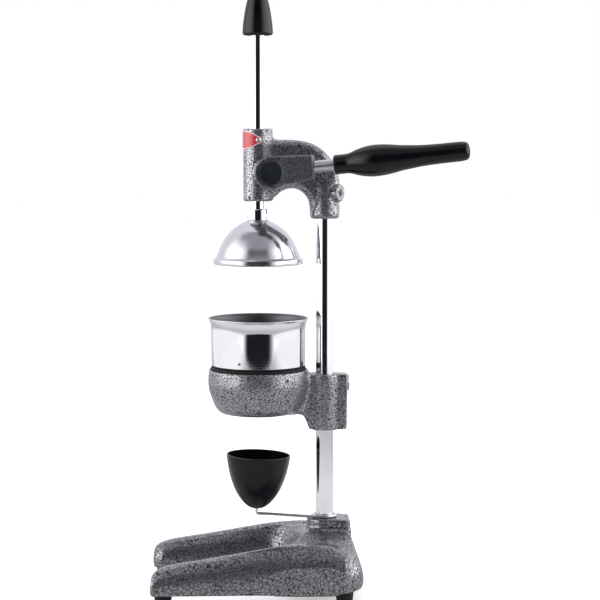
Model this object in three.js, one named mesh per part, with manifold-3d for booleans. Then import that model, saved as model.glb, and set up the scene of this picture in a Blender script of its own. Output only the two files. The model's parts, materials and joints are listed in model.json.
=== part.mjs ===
// Hand-lever fruit press: a rack-and-pinion ram over a steel cup, on a hammer-finished cast stand.
// Millimetres, +Z up. +X is the rear, -X the user's side, -Y the near (lever) side, +Y the far.
// Pieces are drawn from the column's axis at table level. The outer group then puts the origin
// at the middle of the whole press's footprint.
import * as THREE from "three";
import { mergeVertices } from "three/addons/utils/BufferGeometryUtils.js";
import { ConvexGeometry } from "three/addons/geometries/ConvexGeometry.js";
import Module from "manifold-3d";

const wasm = await Module();
wasm.setup();

// ---- shared dimensions ----
const COLUMN_AXIS_X = 26.02; // where the column's axis stands in the press's frame
const COLUMN_AXIS_Y = 4.99;
const RAM_X = -89; // axis of the ram, bell, cup and cone
const GAP = 0.25; // between pieces that are fixed together

const FOOT_H = 17; // also the height of the casting's underside
const COLUMN_R = 12;
const COLUMN_BOTTOM = 28;
const COLUMN_TOP = 555;
const BASE_BOSS_TOP = 101.5;

// Set screws that bear on the column: height, and direction in degrees from +X about Z
const BASE_SCREW_Z = 91;
const SUPPORT_SCREW_Z = 284.4;
const HEAD_SCREW_Z = 539.6;
const HEAD_SCREW_TURN = -33;

const GUIDE_R = 19.5;
const BADGE_Z = 610;

const PINION_X = -74;
const PINION_Z = 567.7;
const MODULE = 1.75;
const TEETH = 11;
const PITCH_R = (MODULE * TEETH) / 2;
const PITCH_LINE_X = PINION_X - PITCH_R; // the rack's pitch line
const SHAFT_R = 7.2;
const HEAD_NEAR_Y = -20.5;
const HEAD_FAR_Y = 19.5;

const ROD_R = 10;
const ROD_BOTTOM = 503;
const ROD_TOP = 776;

const HUB_NEAR_Y = -56;
const HUB_FAR_Y = -22.6;

const SUPPORT_RECESS_Z = 301.2; // the gasket's seat
const CUP_FLOOR = 307.2;

// ---- shape helpers ----
const DEG = Math.PI / 180;
const REARWARD = [1, 0, 0];
const FARWARD = [0, 1, 0];
const NEARWARD = [0, -1, 0];
const UPWARD = [0, 0, 1];

const union = (...solids) => solids.reduce((a, b) => a.add(b));

// A closed solid from a geometry: seams are welded and faces turned outwards.
function solid(geometry) {
  const loose = geometry.index ? geometry.toNonIndexed() : geometry.clone();
  loose.deleteAttribute("normal");
  loose.deleteAttribute("uv");
  const welded = mergeVertices(loose, 1e-4);
  const index = welded.index.array;
  const triangles = [];
  for (let i = 0; i < index.length; i += 3) {
    const [a, b, c] = index.slice(i, i + 3);
    if (a !== b && b !== c && a !== c) triangles.push(a, b, c);
  }
  const make = () =>
    new wasm.Manifold(
      new wasm.Mesh({
        numProp: 3,
        vertProperties: new Float32Array(welded.attributes.position.array),
        triVerts: new Uint32Array(triangles),
      }),
    );
  const first = make();
  if (first.volume() > 0) return first;
  for (let i = 0; i < triangles.length; i += 3) {
    [triangles[i + 1], triangles[i + 2]] = [triangles[i + 2], triangles[i + 1]];
  }
  return make();
}

// Flat-shaded geometry of a solid.
function geometryOf(shape) {
  const mesh = shape.getMesh();
  const geometry = new THREE.BufferGeometry();
  geometry.setAttribute("position", new THREE.BufferAttribute(mesh.vertProperties, 3));
  geometry.setIndex(new THREE.BufferAttribute(mesh.triVerts, 1));
  const flat = geometry.toNonIndexed();
  flat.computeVertexNormals();
  return flat;
}

const lathe = (profile, segments) =>
  new THREE.LatheGeometry(profile.map(([r, height]) => new THREE.Vector2(r, height)), segments);

// A profile of [radius, z] pairs turned about a vertical axis through (x, y).
function turned(profile, segments, x = 0, y = 0) {
  const geometry = lathe(profile, segments);
  geometry.rotateX(Math.PI / 2);
  geometry.translate(x, y, 0);
  return solid(geometry);
}

// A profile of [radius, distance] pairs turned about the line from `from` along `direction`.
function turnedAlong(profile, segments, from, direction) {
  const geometry = lathe(profile, segments);
  const turn = new THREE.Quaternion().setFromUnitVectors(
    new THREE.Vector3(0, 1, 0),
    new THREE.Vector3(...direction).normalize(),
  );
  geometry.applyMatrix4(new THREE.Matrix4().makeRotationFromQuaternion(turn));
  geometry.translate(...from);
  return solid(geometry);
}

// Plain cylinders between two distances along their axis.
const rodProfile = (radius, start, end) => [[0, start], [radius, start], [radius, end], [0, end]];
const rodAlong = (radius, start, end, segments, from, direction) =>
  turnedAlong(rodProfile(radius, start, end), segments, from, direction);
const rodZ = (radius, z0, z1, segments, x = 0, y = 0) =>
  turned(rodProfile(radius, z0, z1), segments, x, y);
const rodY = (radius, y0, y1, segments, x, z) =>
  rodAlong(radius, y0, y1, segments, [x, 0, z], FARWARD);

// An outline of [x, z] pairs pushed from y0 to y1.
function prismY(outline, y0, y1) {
  const shape = new THREE.Shape(outline.map(([x, z]) => new THREE.Vector2(x, z)));
  const geometry = new THREE.ExtrudeGeometry(shape, {
    depth: y1 - y0,
    bevelEnabled: false,
    steps: 1,
  });
  geometry.rotateX(Math.PI / 2);
  geometry.translate(0, y1, 0);
  return solid(geometry);
}

// Rings with the same number of points, joined in order and closed at both ends.
function loft(rings) {
  const count = rings[0].length;
  const positions = [];
  const put = (...points) => points.forEach((point) => positions.push(...point));
  for (let i = 0; i + 1 < rings.length; i++) {
    for (let j = 0; j < count; j++) {
      const k = (j + 1) % count;
      const [lower, upper] = [rings[i], rings[i + 1]];
      put(lower[j], lower[k], upper[k], lower[j], upper[k], upper[j]);
    }
  }
  const cap = (ring, flip) => {
    const centre = [0, 1, 2].map((axis) => ring.reduce((sum, p) => sum + p[axis], 0) / count);
    for (let j = 0; j < count; j++) {
      const k = (j + 1) % count;
      if (flip) put(centre, ring[k], ring[j]);
      else put(centre, ring[j], ring[k]);
    }
  };
  cap(rings[0], true);
  cap(rings[rings.length - 1], false);
  const geometry = new THREE.BufferGeometry();
  geometry.setAttribute("position", new THREE.BufferAttribute(new Float32Array(positions), 3));
  return solid(geometry);
}

// A rounded rectangle as [u, v] pairs. Each corner has its own radius and number of points,
// in the order low-low, high-low, high-high, low-high.
function rounded(u0, u1, v0, v1, radii, counts) {
  const [a, b, c, d] = radii;
  const centres = [[u0 + a, v0 + a], [u1 - b, v0 + b], [u1 - c, v1 - c], [u0 + d, v1 - d]];
  return centres.flatMap(([u, v], corner) =>
    Array.from({ length: counts[corner] }, (_, i) => {
      const start = (180 + 90 * corner) % 360;
      const angle = (start + (90 * i) / (counts[corner] - 1)) * DEG;
      return [u + radii[corner] * Math.cos(angle), v + radii[corner] * Math.sin(angle)];
    }),
  );
}

// ---- column, and the screws that bear on it ----
function column() {
  const profile = [
    [0, COLUMN_BOTTOM], [COLUMN_R, COLUMN_BOTTOM], [COLUMN_R, COLUMN_TOP - 1],
    [COLUMN_R - 1, COLUMN_TOP], [0, COLUMN_TOP],
  ];
  return turned(profile, 40);
}

const columnBore = (z0, z1) => rodZ(COLUMN_R + GAP, z0, z1, 40);

const SET_SCREW_R = 4;
const radialDirection = (turn) => [Math.cos(turn * DEG), Math.sin(turn * DEG), 0];
const setScrewBore = (z, turn) =>
  rodAlong(SET_SCREW_R + GAP, 9, 40, 16, [0, 0, z], radialDirection(turn));

// Reaches `outer` from the column's axis, with a six-sided socket in that end.
function setScrew(z, turn, outer) {
  const inner = COLUMN_R + 0.3;
  const from = [0, 0, z];
  const direction = radialDirection(turn);
  const profile = [
    [0, inner], [2.4, inner], [SET_SCREW_R, inner + 1.6],
    [SET_SCREW_R, outer - 0.5], [3.5, outer], [0, outer],
  ];
  return turnedAlong(profile, 16, from, direction).subtract(
    rodAlong(2.31, outer - 4, outer + 2, 6, from, direction),
  );
}

// ---- base: two legs reach forward from a yoke that carries the column ----
const FOOT_FRONT_X = -217;
const FOOT_REAR_X = 22;
const FOOT_Y = 82;
const FEET = [
  // place, x, y
  ["front_near", FOOT_FRONT_X, -FOOT_Y],
  ["front_far", FOOT_FRONT_X, FOOT_Y],
  ["rear_near", FOOT_REAR_X, -FOOT_Y],
  ["rear_far", FOOT_REAR_X, FOOT_Y],
];
const HOLLOW_BOTTOM = FOOT_H - 2; // the hollow is cut from just below the underside
const LEG_OUTER_Y = 101.6;
const LEG_FRONT_X = -234;
const LEG = [
  // x, half width, top z, bottom z
  [LEG_FRONT_X, 11.5, 31, 20],
  [-232.5, 14.5, 39, 17.6],
  [-228, 17.5, 46, FOOT_H],
  [-219, 19.5, 51.5, FOOT_H],
  [-203, 20, 55.5, FOOT_H],
  [-164, 20.3, 61.5, FOOT_H],
  [-124, 20.8, 68, FOOT_H],
  [-92, 21.4, 73.3, FOOT_H],
  [-60, 22, 77.3, FOOT_H],
  [-30, 22.5, 79.3, FOOT_H],
  [0, 22, 77, FOOT_H],
  [20, 16, 68, FOOT_H + 3],
];
const YOKE = [
  // z, rear x, half width, rear corner radius
  [FOOT_H, 45.5, 97, 40],
  [20, 47.5, 99, 41],
  [30, 48.8, 101, 42],
  [40, 47.6, 101.3, 42],
  [49, 45, 100, 41],
  [58, 41.4, 96.5, 39],
  [66, 37.6, 90, 36],
  [72, 35.6, 80, 32],
  [77, 34.6, 60, 25],
  [82, 34.2, 38, 14],
  [86, 33.8, 26, 8],
];
const YOKE_FRONT_X = -102; // also the middle of the round bay between the legs
const BAY = [
  // reach to the rear, reach to each side, z
  [57.6, 57.7, FOOT_H],
  [58, 57.8, 31],
  [59, 59.5, 40],
  [60, 62.9, 50],
  [62, 67.2, 59],
  [64.5, 73, 66],
  [69, 80, 77],
  [78, 92, 88],
];
const BASE_BOSS = [
  // growth, z, z at the rear
  [0.8, 60, 60],
  [0.4, 84, 84],
  [0, BASE_BOSS_TOP - 2.2, BASE_BOSS_TOP - 3.5],
  [-0.7, BASE_BOSS_TOP - 0.6, BASE_BOSS_TOP - 2],
  [-2, BASE_BOSS_TOP, BASE_BOSS_TOP - 1.4],
];

// Section of a leg: a flat bottom with cut corners, under an arched top.
function legRing([x, halfWidth, top, bottom], side, inset, low) {
  const middle = LEG_OUTER_Y - halfWidth;
  const w = halfWidth - inset;
  const archTop = top - inset;
  const rise = (archTop - bottom) * 0.72; // the sides lean in from low down
  const archR = w * 0.92;
  const ring = [
    [middle - w, low + 1.5],
    [middle - w + 1.5, low],
    [middle + w - 1.5, low],
    [middle + w, low + 1.5],
  ];
  for (let j = 0; j <= 10; j++) {
    const angle = (j / 10) * 180 * DEG;
    const flat = (w - archR) * Math.sign(5 - j);
    ring.push([
      middle + flat + archR * Math.cos(angle),
      archTop - rise + rise * Math.sin(angle),
    ]);
  }
  const ringX = Math.max(x, LEG_FRONT_X + inset);
  return ring.map(([y, z]) => [ringX, side * y, z]);
}

function leg(side, inset = 0, low = undefined) {
  // The inset can bring the front rings onto one plane, where only the first is kept.
  const rings = LEG.map((row) => legRing(row, side, inset, low ?? row[3])).filter(
    (ring, i, all) => i === 0 || ring[0][0] > all[i - 1][0][0] + 0.01,
  );
  return loft(rings);
}

function yokeBay(inset) {
  const bayRing = ([back, aside], z) =>
    Array.from({ length: 36 }, (_, j) => {
      const angle = (j + 0.5) * 10 * DEG;
      return [
        YOKE_FRONT_X + (back + inset) * Math.cos(angle),
        (aside + inset) * Math.sin(angle),
        z,
      ];
    });
  return loft([
    bayRing(BAY[0], 5),
    ...BAY.map((row) => bayRing(row, row[2])),
    bayRing(BAY[BAY.length - 1], 110),
  ]);
}

function yoke(inset = 0, topZ = Infinity) {
  const block = loft(
    YOKE.filter(([z]) => z <= topZ).map(([z, rearX, halfWidth, r]) => {
      const halfY = halfWidth - inset;
      const rearR = Math.max(r - inset, 4);
      const ringZ = inset && z === FOOT_H ? HOLLOW_BOTTOM : z;
      return rounded(
        YOKE_FRONT_X + inset,
        rearX - inset,
        -halfY,
        halfY,
        [8, rearR, rearR, 8],
        [2, 6, 6, 2],
      ).map(([x, y]) => [x, y, ringZ]);
    }),
  );
  // Its top falls away forwards with the legs.
  const above = [
    [-120, 60 - inset], [-92, 69.5 - inset], [-60, 76 - inset], [-40, 80 - inset],
    [-25, 87 - inset], [-25, 140], [-120, 140],
  ];
  return block.subtract(yokeBay(inset)).subtract(prismY(above, -150, 150));
}

// Boss round the column, with a squared rear.
function baseBoss() {
  const halfWidth = 24;
  const rearX = 34;
  return loft(
    BASE_BOSS.map(([grow, z, rearZ]) =>
      rounded(
        -halfWidth - grow,
        rearX + grow,
        -halfWidth - grow,
        halfWidth + grow,
        [23.5 + grow, 5 + grow, 5 + grow, 23.5 + grow],
        [7, 3, 3, 7],
      ).map(([x, y]) => [x, y, x > 26 ? rearZ : z]),
    ),
  );
}

// The underside is a shell, left solid round the column and over each foot.
function baseHollow() {
  const legInset = 6;
  const yokeInset = 7;
  let hollow = union(
    leg(-1, legInset, HOLLOW_BOTTOM),
    leg(1, legInset, HOLLOW_BOTTOM),
    yoke(yokeInset, 72),
  ).subtract(rodZ(22, 10, 90, 20));
  for (const [, x, y] of FEET) hollow = hollow.subtract(rodZ(9.5, 10, 90, 12, x, y));
  return hollow;
}

function baseCasting() {
  let base = union(leg(-1), leg(1), yoke(), baseBoss())
    .subtract(baseHollow())
    .subtract(columnBore(COLUMN_BOTTOM - 0.5, 110));
  for (const [, x, y] of FEET) base = base.subtract(rodZ(2.6, 10, 32, 12, x, y));
  return base.subtract(setScrewBore(BASE_SCREW_Z, 0));
}

function foot(x, y) {
  const top = FOOT_H - 0.2;
  const profile = [
    [2.75, 9], [6.2, 9], [6.2, 0], [9.6, 0], [10.5, 0.9], [12, top], [2.75, top], [2.75, 9],
  ];
  return turned(profile, 20, x, y);
}

function footScrew(x, y) {
  const profile = [
    [0, 4.6], [4.2, 4.6], [5, 5.6], [5, 8.7], [2.3, 8.7], [2.3, 30], [0, 30],
  ];
  return turned(profile, 12, x, y);
}

// ---- head: ram guide, arch and column socket in one casting ----
const ARCH = [
  // outer x, outer z, inner x, inner z, half width
  [-92, 607.5, -92, 552, 14],
  [-78, 608.5, -77, 538, 15],
  [-66, 610, -66.5, 535.5, 16],
  [-56, 610, -59, 541.2, 16],
  [-45, 610, -51, 544.8, 16],
  [-32, 608.6, -42, 545.6, 16],
  [-19, 605.6, -34.6, 543.4, 16],
  [-5, 597.8, -27.6, 538.2, 16.4],
  [6, 586.6, -22.6, 531.4, 17],
  [13, 575.5, -20.2, 523.5, 17.6],
  [17.3, 562.5, -18.6, 516, 18],
  [18.6, 550, -17, 510.5, 18],
];

function headArch() {
  return loft(
    ARCH.map(([outerX, outerZ, innerX, innerZ, halfWidth]) => {
      const depth = Math.hypot(outerX - innerX, outerZ - innerZ);
      const unitX = (outerX - innerX) / depth;
      const unitZ = (outerZ - innerZ) / depth;
      return rounded(0, depth, -halfWidth, halfWidth, [9, 11, 11, 9], [4, 4, 4, 4]).map(
        ([out, y]) => [innerX + unitX * out, y, innerZ + unitZ * out],
      );
    }),
  );
}

function ramGuide() {
  const bottom = 528.6;
  const top = 624.6;
  const profile = [
    [0, bottom], [GUIDE_R - 3, bottom], [GUIDE_R - 0.9, bottom + 1], [GUIDE_R, bottom + 3.4],
    [GUIDE_R, top - 1.4], [GUIDE_R - 1.2, top], [0, top],
  ];
  return turned(profile, 36, RAM_X);
}

function columnSocket() {
  const r = 19.6;
  const bottom = 505;
  const profile = [
    [0, bottom], [r - 4, bottom], [r - 1, bottom + 1.4], [r, bottom + 5],
    [r, 548], [18.6, 559], [15, 570], [9, 581], [0, 587],
  ];
  return turned(profile, 32);
}

function headScrewBoss() {
  const r = 11.5;
  const end = 24.2;
  const profile = [[0, 4], [r + 0.4, 4], [r, end - 1.2], [r - 1.2, end], [0, end]];
  return turnedAlong(profile, 24, [0, 0, HEAD_SCREW_Z], radialDirection(HEAD_SCREW_TURN));
}

const drillRivetHoles = (shape) =>
  shape
    .subtract(rodY(1.75, -30, -14, 12, RAM_X, BADGE_Z))
    .subtract(rodY(1.75, 14, 30, 12, RAM_X, BADGE_Z));

function headCasting() {
  const nearBoss = rodY(20, HEAD_NEAR_Y, 0, 32, PINION_X, PINION_Z);
  const farBoss = rodY(16, 0, HEAD_FAR_Y, 28, PINION_X, PINION_Z);
  const head = union(headArch(), ramGuide(), columnSocket(), nearBoss, farBoss, headScrewBoss())
    .subtract(rodZ(ROD_R + 0.09, 500, 640, 48, RAM_X))
    .subtract(columnBore(490, COLUMN_TOP + 0.5))
    .subtract(rodY(13.2, -40, 11, 48, PINION_X, PINION_Z)) // pinion's bore
    .subtract(rodY(SHAFT_R + 0.08, 5, 40, 40, PINION_X, PINION_Z)) // shaft's bore
    .subtract(setScrewBore(HEAD_SCREW_Z, HEAD_SCREW_TURN));
  return drillRivetHoles(head);
}

// ---- plain enamelled plate round the front of the guide, held by two rivets ----
const BADGE_INNER_R = GUIDE_R + 0.25;
const BADGE_OUTER_R = GUIDE_R + 1.1;
const BADGE_END_HALF_H = 5;
const BADGE_SWELL = 7.7; // extra half height at the very front
// Degrees round the guide from the front
const BADGE_ANGLES = [
  -104, -102, -98, -94, -90, -82, -72, -62, -50, -38, -25, -12.5, 0,
  12.5, 25, 38, 50, 62, 72, 82, 90, 94, 98, 102, 104,
];

function badgeHalfHeight(angle) {
  const beyond = Math.abs(angle) - 90;
  if (beyond <= 0) {
    return BADGE_END_HALF_H + BADGE_SWELL * (1 - (Math.abs(angle) / 90) ** 2.8);
  }
  const t = beyond / 14.6; // rounded ends
  return Math.max(BADGE_END_HALF_H * Math.sqrt(1 - t * t), 0.8);
}

function badgePlate() {
  const rings = BADGE_ANGLES.map((angle) => {
    const half = badgeHalfHeight(angle);
    const point = (r, z) => [RAM_X - r * Math.cos(angle * DEG), r * Math.sin(angle * DEG), z];
    return [
      point(BADGE_INNER_R, BADGE_Z - half),
      point(BADGE_OUTER_R, BADGE_Z - half),
      point(BADGE_OUTER_R, BADGE_Z + half),
      point(BADGE_INNER_R, BADGE_Z + half),
    ];
  });
  return drillRivetHoles(loft(rings));
}

function badgeRivet(direction) {
  const profile = [
    [0, 15], [1.5, 15], [1.5, 20.95], [3.3, 20.95], [3, 21.8], [2, 22.6], [0, 22.9],
  ];
  return turnedAlong(profile, 16, [RAM_X, 0, BADGE_Z], direction);
}

// ---- pinion and shaft ----
const RACK_PITCH = Math.PI * MODULE;
const FLANK_SLOPE = Math.tan(20 * DEG);
const TOOTH_PLAY = 0.24;
const CROSS_PIN_Y = -32;

// Half width of a rack tooth at a distance outside the pitch line, towards the pinion
const rackToothHalf = (outside) => RACK_PITCH / 4 - outside * FLANK_SLOPE;

// Whether a point lies in a rack tooth grown by the play.
// u: distance from the pinion's axis towards the rack. v: along the rack, a gap centred on 0.
function inRackTooth(u, v) {
  const outside = PITCH_R - u;
  if (outside > MODULE + 0.25) return false;
  const half = rackToothHalf(Math.max(outside, -MODULE - 1)) + TOOTH_PLAY;
  let offset = (((v - RACK_PITCH / 2) % RACK_PITCH) + RACK_PITCH) % RACK_PITCH;
  if (offset > RACK_PITCH / 2) offset -= RACK_PITCH;
  return Math.abs(offset) < half;
}

// How far out a ray of the blank survives when the rack is rolled past it
function pinionRadius(angle) {
  const rollSteps = 200;
  const rollReach = 1.1; // radians each way
  let r = PITCH_R + MODULE - 0.1;
  for (let k = -rollSteps; k <= rollSteps; k++) {
    const turn = (k / rollSteps) * rollReach;
    const b = angle + turn;
    for (let t = PITCH_R - MODULE - 0.6; t < r; t += 0.03) {
      if (inRackTooth(t * Math.cos(b), t * Math.sin(b) - PITCH_R * turn)) {
        r = t;
        break;
      }
    }
  }
  return r;
}

function pinionOutline() {
  const rays = 64; // per tooth
  const tolerance = 0.05;
  const unit = Array.from({ length: rays + 1 }, (_, i) => {
    const angle = ((i / rays) * 2 * Math.PI) / TEETH;
    return [pinionRadius(angle), angle];
  });
  const flat = unit.map(([r, angle]) => [r * Math.cos(angle), r * Math.sin(angle)]);
  // Points that a straight edge replaces within the tolerance are dropped.
  const keep = (low, high) => {
    const [ax, ay] = flat[low];
    const [bx, by] = flat[high];
    const length = Math.hypot(bx - ax, by - ay);
    let worst = tolerance;
    let at = -1;
    for (let i = low + 1; i < high; i++) {
      const [x, y] = flat[i];
      const error = Math.abs((x - ax) * (by - ay) - (y - ay) * (bx - ax)) / length;
      if (error > worst) [worst, at] = [error, i];
    }
    return at < 0 ? [low] : [...keep(low, at), ...keep(at, high)];
  };
  const kept = [...keep(0, rays / 2), ...keep(rays / 2, rays)];
  const outline = [];
  for (let tooth = 0; tooth < TEETH; tooth++) {
    for (const i of kept) {
      const [r, unitAngle] = unit[i];
      const angle = unitAngle + (tooth * 2 * Math.PI) / TEETH;
      outline.push([PINION_X - Math.cos(angle) * r, PINION_Z + Math.sin(angle) * r]);
    }
  }
  return outline;
}

// A vertical rod across the pinion's axis, at the lever's cross pin
const crossRod = (radius, reach) =>
  rodAlong(radius, -reach, reach, 12, [PINION_X, CROSS_PIN_Y, PINION_Z], UPWARD);

function pinionShaft() {
  const journal = rodY(13.12, HEAD_NEAR_Y + 0.2, -10.2, 48, PINION_X, PINION_Z);
  const shaft = rodY(SHAFT_R, -54, 29, 40, PINION_X, PINION_Z);
  const teeth = prismY(pinionOutline(), -10.4, 10);
  return union(journal, shaft, teeth).subtract(crossRod(2.6, 14));
}

const shaftHole = (y0, y1, segments) =>
  rodY(SHAFT_R + GAP, y0, y1, segments, PINION_X, PINION_Z);

const thrustWasher = () =>
  rodY(16, HUB_FAR_Y + 0.25, HEAD_NEAR_Y - 0.2, 36, PINION_X, PINION_Z).subtract(
    shaftHole(-30, 0, 32),
  );

const retainingWasher = () =>
  rodY(14, HEAD_FAR_Y + 0.2, HEAD_FAR_Y + 1.8, 32, PINION_X, PINION_Z).subtract(
    shaftHole(0, 40, 32),
  );

// Six-sided, with both ends chamfered
function retainingNut() {
  const profile = [
    [0, 21.5], [11.4, 21.5], [12.7, 22.4], [12.7, 28.4], [11.4, 29.3], [0, 29.3],
  ];
  return turnedAlong(profile, 6, [PINION_X, 0, PINION_Z], FARWARD).subtract(
    shaftHole(0, 40, 32),
  );
}

// ---- lever: a hub on the shaft, and an arm that holds the rod ----
const HUB_R = 21;
const CAP_R = 14.4;
const ARM_END = 58.9; // distances along the lever are from the pinion's axis
const LEVER_ROD_R = 8;
const LEVER_ROD_START = 25;
const LEVER_ROD_END = 150;
const GRIP_START = 86;
const LEVER_RISE = 6.3 * DEG;
const LEVER_SPLAY = 12.8 * DEG; // away from the frame, towards -Y
const LEVER_FROM = [PINION_X, -43.4, PINION_Z + 1.2];
const LEVER_DIRECTION = [
  Math.cos(LEVER_RISE) * Math.cos(LEVER_SPLAY),
  -Math.cos(LEVER_RISE) * Math.sin(LEVER_SPLAY),
  Math.sin(LEVER_RISE),
];

// The hull of the hub's front part and the arm's rounded end
function leverArm() {
  const along = new THREE.Vector3(...LEVER_DIRECTION);
  const across = along.clone().cross(new THREE.Vector3(...UPWARD)).normalize(); // towards -Y
  const up = new THREE.Vector3().crossVectors(across, along).normalize();
  const rim = [
    // y, radius
    [-29, HUB_R - 1.2],
    [-30.5, HUB_R],
    [HUB_NEAR_Y + 1.6, HUB_R],
    [HUB_NEAR_Y, HUB_R - 1.8],
  ];
  const points = [];
  for (let i = 0; i < 40; i++) {
    const angle = (i / 40) * 2 * Math.PI;
    if (Math.cos(angle) > 0.35) continue;
    for (const [y, r] of rim) {
      points.push(
        new THREE.Vector3(PINION_X + r * Math.cos(angle), y, PINION_Z + r * Math.sin(angle)),
      );
    }
  }
  const endSections = [
    // distance along the lever, half width, half height, corner radius
    [ARM_END - 1.6, 12, 15.6, 4],
    [ARM_END, 10.6, 14.2, 3.4],
  ];
  for (const [distance, w, h, r] of endSections) {
    const centre = new THREE.Vector3(...LEVER_FROM.map((c, i) => c + LEVER_DIRECTION[i] * distance));
    for (const [u, v] of rounded(-w, w, -h, h, [r, r, r, r], [4, 4, 4, 4])) {
      points.push(centre.clone().addScaledVector(across, u).addScaledVector(up, v));
    }
  }
  return solid(new ConvexGeometry(points));
}

function leverCasting() {
  const hubProfile = [
    [0, HUB_NEAR_Y], [HUB_R - 1.8, HUB_NEAR_Y], [HUB_R, HUB_NEAR_Y + 1.6],
    [HUB_R, HUB_FAR_Y - 1.2], [HUB_R - 1.2, HUB_FAR_Y], [0, HUB_FAR_Y],
  ];
  const hub = turnedAlong(hubProfile, 40, [PINION_X, 0, PINION_Z], FARWARD);
  const rodHole = rodAlong(
    LEVER_ROD_R + GAP, LEVER_ROD_START - 0.3, 90, 36, LEVER_FROM, LEVER_DIRECTION,
  );
  return union(leverArm(), hub)
    .subtract(shaftHole(-54.3, 0, 40))
    .subtract(rodY(CAP_R, -80, HUB_NEAR_Y, 36, PINION_X, PINION_Z)) // seat of the cap
    .subtract(rodHole)
    .subtract(crossRod(2.5, 40));
}

const leverRod = () =>
  rodAlong(LEVER_ROD_R, LEVER_ROD_START, LEVER_ROD_END, 36, LEVER_FROM, LEVER_DIRECTION);

function leverGrip() {
  const boreR = LEVER_ROD_R + GAP;
  const boreEnd = LEVER_ROD_END + 0.5;
  const profile = [
    [0, boreEnd], [boreR, boreEnd], [boreR, GRIP_START], [11.8, GRIP_START],
    [12.6, 87], [12.65, 103.5], [13.9, 108.8], [16.8, 117], [18.9, 125], [20.1, 133],
    [20.4, 141], [20.1, 149], [18.6, 162], [16.8, 172.2], [15.1, 187], [13.9, 200],
    [13.3, 212], [12.9, 227], [12.7, 248], [12.4, 255], [10.8, 259.8], [7, 262.3], [0, 262.9],
  ];
  return turnedAlong(profile, 24, LEVER_FROM, LEVER_DIRECTION);
}

function hubCap() {
  const start = GAP - HUB_NEAR_Y;
  const profile = [[0, start], [CAP_R, start], [CAP_R, 58.3], [13.3, 59.3], [0, 59.8]];
  return turnedAlong(profile, 36, [PINION_X, 0, PINION_Z], NEARWARD);
}

// ---- ram: toothed rod, knob, collar and bell ----
const RACK_LOW = 547;
const RACK_HIGH = 737;
const RACK_TIP_X = PITCH_LINE_X + MODULE;
const RACK_ROOT_X = PITCH_LINE_X - 1.25 * MODULE;

// What is cut from the rod's rear to leave the rack, as [x, z] pairs
function rackCutOutline() {
  const clearX = RAM_X + 14;
  const endSlope = 2.8; // run of the 45 degree slope at each end
  const margin = 6; // no gap is centred nearer the rack's ends
  const first = Math.ceil((RACK_LOW + margin - PINION_Z) / RACK_PITCH);
  const last = Math.floor((RACK_HIGH - margin - PINION_Z) / RACK_PITCH);
  const tip = RACK_PITCH / 2 - rackToothHalf(RACK_TIP_X - PITCH_LINE_X);
  const root = RACK_PITCH / 2 - rackToothHalf(RACK_ROOT_X - PITCH_LINE_X);
  const outline = [
    [clearX, RACK_LOW],
    [RACK_TIP_X + endSlope, RACK_LOW],
    [RACK_TIP_X, RACK_LOW + endSlope],
  ];
  for (let k = first; k <= last; k++) {
    const z = PINION_Z + k * RACK_PITCH; // middle of a gap
    outline.push(
      [RACK_TIP_X, z - tip],
      [RACK_ROOT_X, z - root],
      [RACK_ROOT_X, z + root],
      [RACK_TIP_X, z + tip],
    );
  }
  outline.push(
    [RACK_TIP_X, RACK_HIGH - endSlope],
    [RACK_TIP_X + endSlope, RACK_HIGH],
    [clearX, RACK_HIGH],
  );
  return outline;
}

function ramRod() {
  const profile = [
    [0, ROD_BOTTOM], [ROD_R, ROD_BOTTOM], [ROD_R, ROD_TOP - 1], [ROD_R - 1, ROD_TOP],
    [0, ROD_TOP],
  ];
  return turned(profile, 48, RAM_X)
    .subtract(prismY(rackCutOutline(), -12, 12))
    .subtract(rodZ(4.25, 495, 524, 20, RAM_X)); // hole for the bell screw
}

function topKnob() {
  const boreR = ROD_R + GAP;
  const boreTop = ROD_TOP + 0.5;
  const profile = [
    [0, boreTop], [boreR, boreTop], [boreR, 747.7], [13.5, 747.7], [19.4, 748.6],
    [20.2, 750.5], [19.9, 758.5], [19.1, 768], [16.8, 781], [13.7, 793.5], [11.6, 800.5],
    [9.2, 807], [6.5, 811], [3, 813], [0, 813.6],
  ];
  return turned(profile, 28, RAM_X);
}

function bellCollar() {
  const boreR = ROD_R + GAP;
  const bottom = ROD_BOTTOM + 0.2;
  const profile = [
    [boreR, bottom], [15.2, bottom], [15.25, 517], [14.8, 518.3], [13.4, 518.8],
    [boreR, 518.8], [boreR, bottom],
  ];
  return turned(profile, 36, RAM_X);
}

function pressBell() {
  const profile = [
    [4.6, 502.7], [15, 502.7], [20, 500.6], [28, 496], [37.2, 488.6], [44.4, 480],
    [50.2, 470], [55.4, 457], [57, 453.6], [59.4, 452.6], [60, 451.6], [60, 445.6],
    [59.2, 444.8], [56.9, 444.8], [56.4, 450.4], [51.8, 459], [47.4, 468.5], [41.4, 478],
    [34.4, 485.8], [25.2, 492.8], [12.5, 499.4], [4.6, 499.4], [4.6, 502.7],
  ];
  return turned(profile, 36, RAM_X);
}

// With a six-sided socket in its head
function bellScrew() {
  const profile = [
    [0, 494.4], [6.6, 494.4], [8, 495.6], [8, 499.1], [4, 499.1], [4, 521], [0, 521],
  ];
  return turned(profile, 16, RAM_X).subtract(rodZ(2.9, 490, 497.4, 6, RAM_X));
}

// ---- cup support: a funnel bowl on an arm, clamped to the column ----
const SUPPORT_BOTTOM = 244;
const SUPPORT_LIP = 303.4;
const RECESS_R = 64;
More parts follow.
